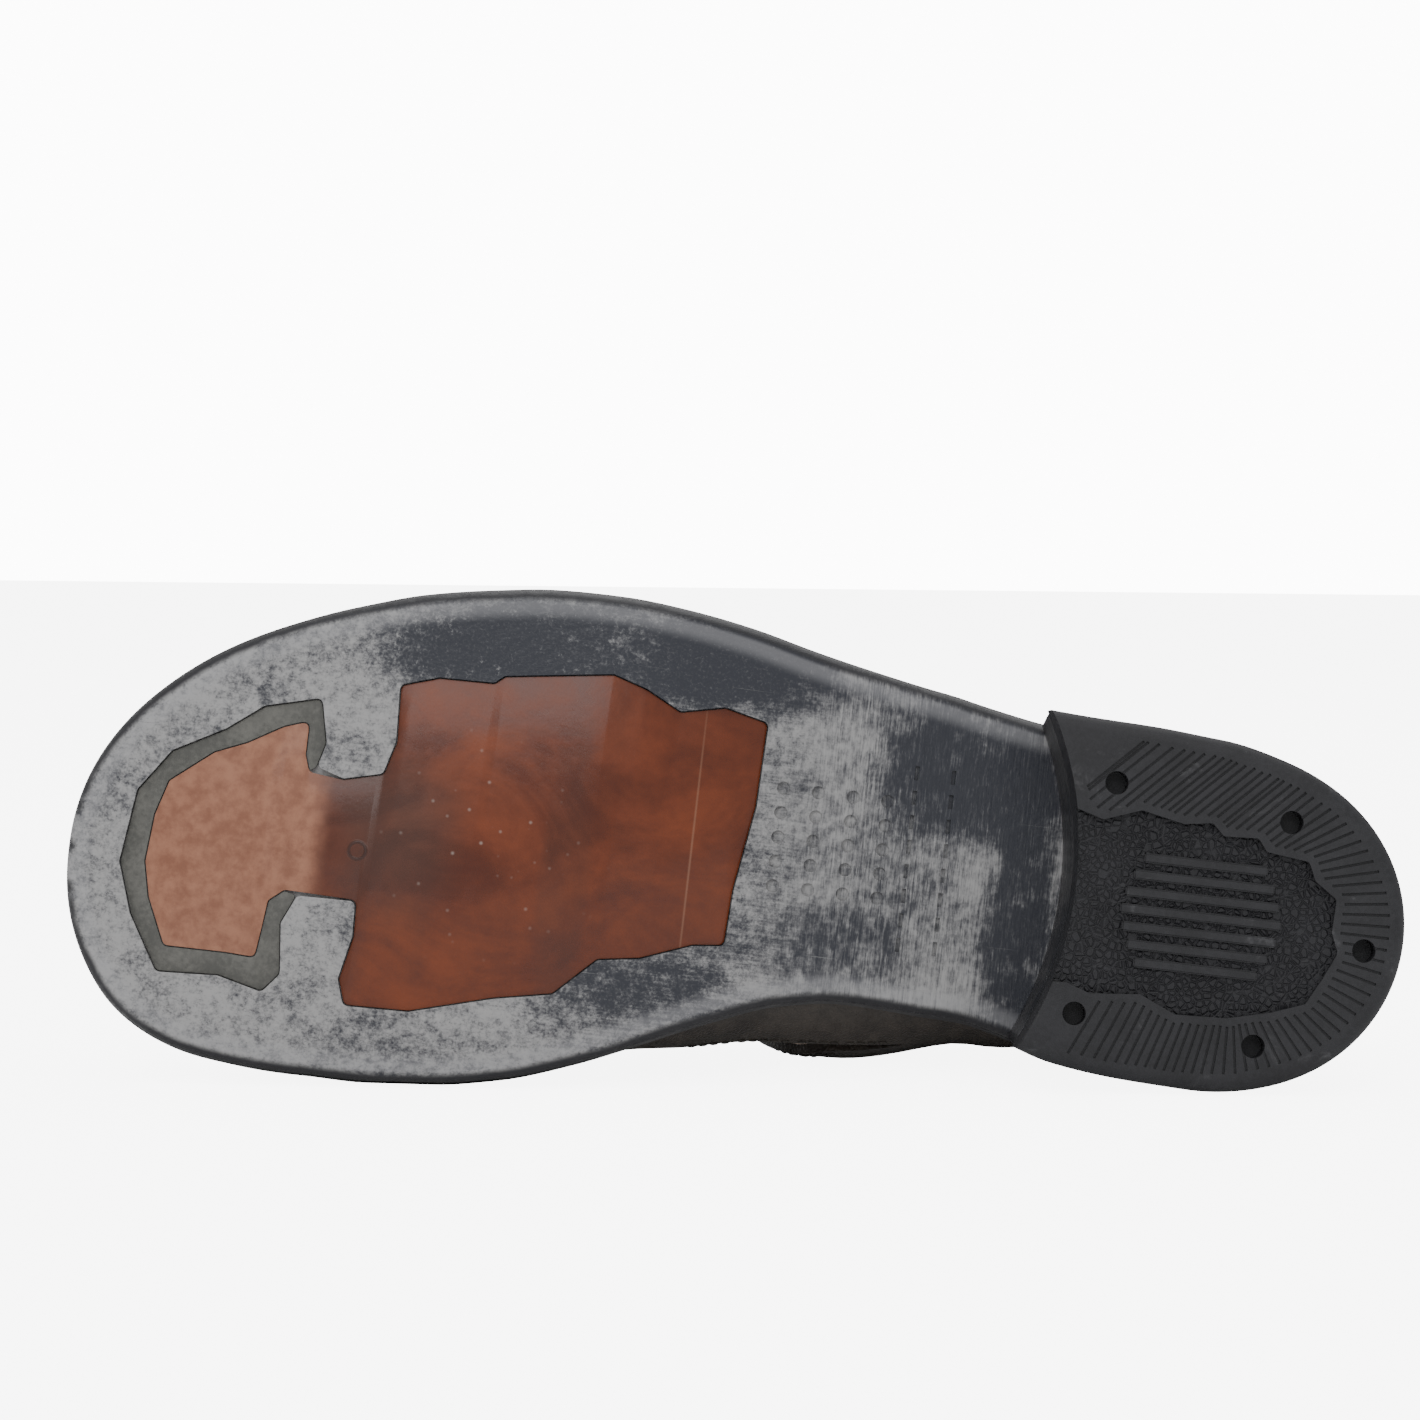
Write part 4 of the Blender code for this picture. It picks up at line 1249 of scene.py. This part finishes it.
class Look:
    """A material under construction, with short calls for the nodes that the finishes share."""

    def __init__(self, name, roughness, coat=0.0, coat_roughness=0.2, specular=0.5):
        self.material = bpy.data.materials.new(name)
        self.material.use_nodes = True
        self.tree = self.material.node_tree
        self.shader = self.tree.nodes["Principled BSDF"]
        self.shader.inputs["Roughness"].default_value = roughness
        self.shader.inputs["Coat Weight"].default_value = coat
        self.shader.inputs["Coat Roughness"].default_value = coat_roughness
        self.shader.inputs["Specular IOR Level"].default_value = specular
        self.place = self.tree.nodes.new("ShaderNodeTexCoord").outputs["Object"]

    def add(self, kind, **values):
        made = self.tree.nodes.new(kind)
        for key, value in values.items():
            setattr(made, key, value)
        return made

    def join(self, value, socket):
        if hasattr(value, "is_output"):
            self.tree.links.new(value, socket)
        else:
            socket.default_value = value

    def stretched(self, scale, turn=0.0, at=(0, 0, 0)):
        """The shoe's own coordinates, scaled along each axis after a turn about the upright axis."""
        made = self.add("ShaderNodeMapping", vector_type="POINT")
        self.join(self.place, made.inputs["Vector"])
        made.inputs["Location"].default_value = at
        made.inputs["Rotation"].default_value = (0, 0, math.radians(turn))
        made.inputs["Scale"].default_value = scale
        return made.outputs["Vector"]

    def noise(self, where, scale=1.0, detail=4.0, rough=0.55, warp=0.0):
        made = self.add("ShaderNodeTexNoise")
        self.join(where, made.inputs["Vector"])
        made.inputs["Scale"].default_value = scale
        made.inputs["Detail"].default_value = detail
        made.inputs["Roughness"].default_value = rough
        made.inputs["Distortion"].default_value = warp
        return made.outputs["Fac"]

    def cells(self, where, scale, feature="F1"):
        made = self.add("ShaderNodeTexVoronoi", feature=feature)
        self.join(where, made.inputs["Vector"])
        made.inputs["Scale"].default_value = scale
        return made.outputs["Distance"]

    def ramp(self, value, low, high, start=0.0, end=1.0):
        made = self.add("ShaderNodeMapRange", interpolation_type="SMOOTHSTEP")
        self.join(value, made.inputs["Value"])
        made.inputs["From Min"].default_value = low
        made.inputs["From Max"].default_value = high
        made.inputs["To Min"].default_value = start
        made.inputs["To Max"].default_value = end
        return made.outputs["Result"]

    def sum(self, a, b, operation="ADD"):
        made = self.add("ShaderNodeMath", operation=operation)
        self.join(a, made.inputs[0])
        self.join(b, made.inputs[1])
        return made.outputs[0]

    def times(self, a, b):
        return self.sum(a, b, "MULTIPLY")

    def blend(self, share, a, b):
        made = self.add("ShaderNodeMix", data_type="RGBA")
        self.join(share, made.inputs["Factor"])
        self.join(a, made.inputs["A"])
        self.join(b, made.inputs["B"])
        return made.outputs["Result"]

    def split(self):
        made = self.add("ShaderNodeSeparateXYZ")
        self.join(self.place, made.inputs[0])
        return made.outputs

    def spot(self, centre, radii, soft=0.5):
        """1 inside an oval place of the sole, falling to 0 outside it."""
        made = self.add("ShaderNodeMapping", vector_type="POINT")
        self.join(self.place, made.inputs["Vector"])
        made.inputs["Location"].default_value = (-centre[0] / radii[0], -centre[1] / radii[1], 0)
        made.inputs["Scale"].default_value = (1 / radii[0], 1 / radii[1], 0)
        length = self.add("ShaderNodeVectorMath", operation="LENGTH")
        self.join(made.outputs["Vector"], length.inputs[0])
        return self.ramp(length.outputs["Value"], 1 - soft, 1 + soft, 1.0, 0.0)

    def colour(self, value):
        self.join(value, self.shader.inputs["Base Color"])

    def gloss(self, value):
        self.join(value, self.shader.inputs["Roughness"])

    def relief(self, height, depth):
        """Bump of the given depth in metres; later reliefs lie over earlier ones."""
        made = self.add("ShaderNodeBump")
        made.inputs["Distance"].default_value = depth
        self.join(height, made.inputs["Height"])
        link = self.shader.inputs["Normal"].links
        if link:
            self.tree.links.new(link[0].from_socket, made.inputs["Normal"])
        self.tree.links.new(made.outputs["Normal"], self.shader.inputs["Normal"])


# Dark worn places of the outsole, where its grey finish has rubbed down
DARK_PATCHES = (
    # along, across, half length, half width, strength
    (0.185, 0.043, 0.040, 0.012, 0.75),
    (0.148, 0.044, 0.022, 0.010, 0.60),
    (0.098, 0.028, 0.020, 0.016, 0.75),
    (0.168, -0.030, 0.016, 0.008, 0.60),
    (0.084, -0.004, 0.007, 0.034, 0.80),
    (0.215, 0.040, 0.016, 0.008, 0.45),
    (0.130, -0.016, 0.020, 0.008, 0.35),
    (0.258, 0.026, 0.010, 0.006, 0.30),
)


def worn_sole_look():
    look = Look("worn_grey_sole", 0.5, specular=0.35)
    along = look.split()["X"]
    forefoot = look.ramp(along, 0.165, 0.200)
    waist = look.ramp(along, 0.150, 0.120)
    mottle = look.noise(look.stretched((1, 1, 1)), 420, 5, 0.65)
    fleck = look.noise(look.stretched((700, 1600, 700), 20), 1.0, 3, 0.6)
    length_streak = look.noise(look.stretched((40, 1500, 200), 3), 1.0, 5, 0.7)
    cross_streak = look.noise(look.stretched((1700, 60, 200), -8), 1.0, 5, 0.7)
    cloud = look.noise(look.stretched((1, 1.4, 1)), 48, 4, 0.6, 0.5)
    broad = look.noise(look.stretched((1, 1, 1), 30), 17, 3, 0.5)
    brushed = look.blend(waist, length_streak, cross_streak)
    streak = look.blend(forefoot, brushed, look.blend(0.55, mottle, fleck))
    tone = look.sum(look.times(streak, 0.42), look.times(cloud, 0.46))
    tone = look.sum(tone, look.times(broad, 0.22))
    tone = look.sum(tone, look.times(mottle, 0.50))
    for x, y, half_length, half_width, strength in DARK_PATCHES:
        edge_wobble = look.times(look.noise(look.stretched((1, 1, 1)), 110 + 900 * x, 4, 0.6), 1.6 * strength)
        dark = look.times(look.spot((x, y), (half_length, half_width), 0.6), edge_wobble)
        tone = look.sum(tone, look.times(dark, 0.42), "SUBTRACT")
    light = look.ramp(tone, 0.48, 1.06)
    fine_spots = look.noise(look.stretched((1, 1, 1)), 1500, 3, 0.8)
    fine_brushing = look.noise(look.stretched((2600, 240, 900), -8), 1.0, 3, 0.8)
    fibre = look.blend(waist, fine_spots, fine_brushing)
    light = look.sum(light, look.times(look.sum(fibre, 0.5, "SUBTRACT"), FIBRE_CONTRAST))
    toe_light = look.times(look.ramp(along, 0.215, 0.255), TOE_LIGHTENING)
    light = look.ramp(look.sum(light, toe_light), 0.0, 1.0)
    colour = look.blend(light, (0.022, 0.024, 0.032, 1), (0.285, 0.282, 0.282, 1))
    pale = look.times(look.ramp(look.noise(look.stretched((1, 1, 1), 50), 260, 6, 0.75), 0.60, 0.72), 0.5)
    colour = look.blend(look.times(pale, forefoot), colour, (0.40, 0.395, 0.39, 1))
    scratch = look.ramp(look.noise(look.stretched((14, 1500, 100), 12, (3, 0, 0)), 1.0, 2, 0.5), 0.70, 0.76)
    colour = look.blend(look.times(scratch, 0.45), colour, (0.42, 0.42, 0.42, 1))
    distance = look.add("ShaderNodeAttribute", attribute_name="edge").outputs["Fac"]
    rim = look.ramp(look.sum(distance, look.times(cloud, 0.10), "SUBTRACT"), 0.02, 0.13, 1.0, 0.0)
    band = look.times(look.ramp(distance, 0.12, 0.2), look.ramp(distance, 0.28, 0.5, 1.0, 0.0))
    colour = look.blend(look.times(band, 0.35), colour, (0.30, 0.30, 0.31, 1))
    colour = look.blend(rim, colour, (0.016, 0.016, 0.019, 1))
    look.colour(colour)
    look.gloss(look.ramp(light, 0.0, 1.0, 0.34, 0.62))
    look.relief(streak, 0.00012)
    look.relief(scratch, -0.00010)
    look.relief(cloud, 0.0006)
    return look.material


def black_edge_look():
    look = Look("black_edge", 0.38, coat=0.25, coat_roughness=0.25)
    cloud = look.noise(look.stretched((1, 1, 3)), 70, 4)
    look.colour(look.blend(look.ramp(cloud, 0.35, 0.75), (0.008, 0.008, 0.010, 1), (0.036, 0.035, 0.036, 1)))
    look.gloss(look.ramp(cloud, 0.3, 0.8, 0.30, 0.55))
    look.relief(look.noise(look.stretched((30, 30, 900)), 1.0, 3), 0.00015)
    layers = look.add("ShaderNodeTexWave", wave_type="BANDS", bands_direction="Z")
    look.join(look.stretched((0, 0, 105)), layers.inputs["Vector"])
    layers.inputs["Scale"].default_value = 0.5
    layers.inputs["Distortion"].default_value = 0.0
    look.relief(look.ramp(layers.outputs["Fac"], 0.0, 0.06), 0.00012)
    return look.material


def amber_look():
    look = Look("amber_inlay", 0.3, coat=0.12, coat_roughness=0.12, specular=0.3)
    along = look.split()["X"]
    cloud = look.noise(look.stretched((1, 1.6, 1), 25), 26, 4, 0.6, 1.2)
    fine = look.noise(look.stretched((1, 1, 1)), 300, 5, 0.6)
    lobe = look.ramp(along, 0.2395, 0.2455)
    broad_swell = look.noise(look.stretched((1, 1, 1)), 30, 2, 0.4)
    tone = look.sum(look.times(cloud, 0.8), look.times(fine, 0.2))
    colour = look.blend(look.ramp(tone, 0.28, 0.72), (0.066, 0.012, 0.004, 1), (0.158, 0.032, 0.007, 1))
    grey = look.spot((0.226, -0.002), (0.012, 0.016), 0.7)
    colour = look.blend(look.times(grey, 0.55), colour, (0.050, 0.030, 0.024, 1))
    diagonal = look.ramp(look.noise(look.stretched((90, 12, 1), 32), 0.5, 2), 0.50, 0.62)
    colour = look.blend(look.times(diagonal, 0.28), colour, (0.040, 0.015, 0.010, 1))
    dull = look.blend(look.ramp(fine, 0.3, 0.7), (0.200, 0.080, 0.046, 1), (0.300, 0.135, 0.082, 1))
    colour = look.blend(lobe, colour, dull)
    specks = look.ramp(look.cells(look.stretched((1, 1, 1)), 260), 0.0, 0.16, 1.0, 0.0)
    speck_place = look.spot((0.205, -0.001), (0.018, 0.018), 0.8)
    colour = look.blend(look.times(specks, look.times(speck_place, 0.35)), colour, (0.50, 0.46, 0.42, 1))
    scratch = look.spot((0.1600, 0.0), (0.00022, 0.030), 0.8)
    colour = look.blend(look.times(scratch, 0.35), colour, (0.30, 0.16, 0.10, 1))
    ring = look.spot((0.2336, -0.0069), (0.0022, 0.0022), 0.12)
    inner = look.spot((0.2336, -0.0069), (0.0016, 0.0016), 0.12)
    colour = look.blend(look.times(look.sum(ring, inner, "SUBTRACT"), 0.6), colour, (0.02, 0.01, 0.01, 1))
    look.colour(colour)
    look.gloss(look.sum(look.ramp(tone, 0.3, 0.7, 0.24, 0.40), look.times(lobe, 0.25)))
    look.relief(fine, 0.00006)
    look.relief(broad_swell, 0.0006)
    look.relief(look.sum(ring, inner, "SUBTRACT"), 0.0002)
    return look.material


def plain_look(name, dark, light, scale, roughness, relief, coat=0.0, detail=5):
    """Two tones in fine clouds, with the same clouds as relief."""
    look = Look(name, roughness, coat=coat, specular=0.38)
    fine = look.noise(look.stretched((1, 1, 1)), scale, detail, 0.6)
    broad = look.noise(look.stretched((1, 1, 1)), scale / 9, 3, 0.5)
    tone = look.sum(look.times(fine, 0.5), look.times(broad, 0.5))
    look.colour(look.blend(look.ramp(tone, 0.36, 0.66), dark, light))
    look.gloss(look.ramp(tone, 0.3, 0.7, roughness - 0.08, roughness + 0.08))
    look.relief(fine, relief)
    return look


def rubber_look():
    look = plain_look("heel_rubber", (0.008, 0.008, 0.010, 1), (0.018, 0.018, 0.021, 1), 900, 0.58, 0.00005)
    smudge = look.ramp(look.noise(look.stretched((1, 1, 1)), 90, 5, 0.7, 0.6), 0.58, 0.80)
    base = look.shader.inputs["Base Color"].links[0].from_socket
    look.colour(look.blend(look.times(smudge, 0.30), base, (0.20, 0.20, 0.21, 1)))
    return look.material


def pebbled_look():
    look = plain_look("heel_pebbled", (0.005, 0.005, 0.007, 1), (0.014, 0.014, 0.017, 1), 700, 0.60, 0.00008)
    cracks = look.cells(look.stretched((1, 1, 1)), 620, "DISTANCE_TO_EDGE")
    look.relief(look.ramp(cracks, 0.0, 0.22), 0.00045)
    return look.material


def leather_look(name, dark, light, roughness, coat):
    look = plain_look(name, dark, light, 230, roughness, 0.0001, coat)
    pores = look.cells(look.stretched((1, 1, 1)), 950, "DISTANCE_TO_EDGE")
    look.relief(look.ramp(pores, 0.0, 0.25), 0.00007)
    return look.material


# Black cloth with fine ribs for the gussets' panels; on the inner side the panel is the dark band low on the
# wall under the arch.
def ribbed_panel_look():
    look = Look("black_elastic", 0.85, specular=0.3)
    ribs = look.add("ShaderNodeTexWave", wave_type="BANDS", bands_direction="X")
    look.join(look.stretched((620, 0, 0)), ribs.inputs["Vector"])
    ribs.inputs["Scale"].default_value = 0.5
    weave = look.noise(look.stretched((1, 1, 1)), 1500, 3)
    look.colour(look.blend(ribs.outputs["Fac"], (0.006, 0.006, 0.007, 1), (0.022, 0.022, 0.024, 1)))
    look.relief(ribs.outputs["Fac"], 0.0003)
    look.relief(weave, 0.0001)
    return look.material


def floor_look():
    look = Look("pale_floor", 0.9, specular=0.1)
    cloud = look.noise(look.stretched((1, 1, 1)), 6, 2)
    look.colour(look.blend(cloud, (0.90, 0.90, 0.90, 1), (0.93, 0.93, 0.93, 1)))
    look.shader.inputs["Emission Color"].default_value = (1, 1, 1, 1)
    seen = look.add("ShaderNodeLightPath").outputs["Is Camera Ray"]
    look.join(look.times(seen, FLOOR_GLOW), look.shader.inputs["Emission Strength"])
    return look.material


def soft_light(name, at, size, power, aim=(0, 0, 0.05)):
    data = bpy.data.lights.new(name, "AREA")
    data.shape = "RECTANGLE"
    data.size, data.size_y = size
    data.energy = power
    light = bpy.data.objects.new(name, data)
    bpy.context.scene.collection.objects.link(light)
    light.location = at
    light.rotation_euler = (Vector(aim) - Vector(at)).to_track_quat("-Z", "Y").to_euler()


def make_stage():
    work = bmesh.new()
    bmesh.ops.create_grid(work, x_segments=8, y_segments=8, size=6)
    mesh = bpy.data.meshes.new("floor")
    work.to_mesh(mesh)
    work.free()
    floor = piece_from("floor", mesh, floor_look())
    world = bpy.data.worlds.new("pale_room")
    world.use_nodes = True
    world.node_tree.nodes["Background"].inputs["Color"].default_value = (1, 1, 1, 1)
    seen = world.node_tree.nodes.new("ShaderNodeLightPath").outputs["Is Camera Ray"]
    bright = world.node_tree.nodes.new("ShaderNodeMapRange")
    bright.inputs["To Min"].default_value = ROOM_LIGHT
    bright.inputs["To Max"].default_value = BACKDROP_LIGHT
    world.node_tree.links.new(seen, bright.inputs["Value"])
    strength = world.node_tree.nodes["Background"].inputs["Strength"]
    world.node_tree.links.new(bright.outputs["Result"], strength)
    bpy.context.scene.world = world
    soft_light("front_soft", (-0.3, -1.6, 1.3), (1.4, 1.0), 16)
    soft_light("top_soft", (0.2, 0.3, 1.6), (1.6, 1.6), 14)
    data = bpy.data.cameras.new("camera")
    data.lens = LENS
    camera = bpy.data.objects.new("camera", data)
    bpy.context.scene.collection.objects.link(camera)
    camera.location = CAMERA_AT
    pitch = Matrix.Rotation(math.radians(90 - CAMERA_PITCH), 3, "X")
    camera.rotation_euler = (pitch @ Matrix.Rotation(math.radians(CAMERA_ROLL), 3, "Z")).to_euler()
    bpy.context.scene.camera = camera


def main():
    make_stage()
    black = black_edge_look()
    leather = leather_look("brown_leather", (0.018, 0.014, 0.011, 1), (0.050, 0.041, 0.033, 1), 0.40, 0.12)
    lining = leather_look("tan_lining", (0.200, 0.130, 0.080, 1), (0.290, 0.200, 0.130, 1), 0.70, 0.0)
    turned = leather_look("turned_edge", (0.016, 0.014, 0.013, 1), (0.045, 0.038, 0.034, 1), 0.45, 0.1)
    dark, light = (0.020, 0.018, 0.016, 1), (0.050, 0.045, 0.040, 1)
    thread = plain_look("dark_thread", dark, light, 2500, 0.75, 0.00005)
    dark, light = (0.060, 0.060, 0.054, 1), (0.115, 0.113, 0.102, 1)
    olive = plain_look("olive_border", dark, light, 800, 0.60, 0.00006)
    make_outsole(worn_sole_look())
    make_inlays(amber_look(), olive.material)
    make_midsole(black, thread.material)
    make_heel(black, rubber_look(), pebbled_look())
    make_upper(leather, lining, turned, ribbed_panel_look(), thread.material)
    make_insole(lining)


main()
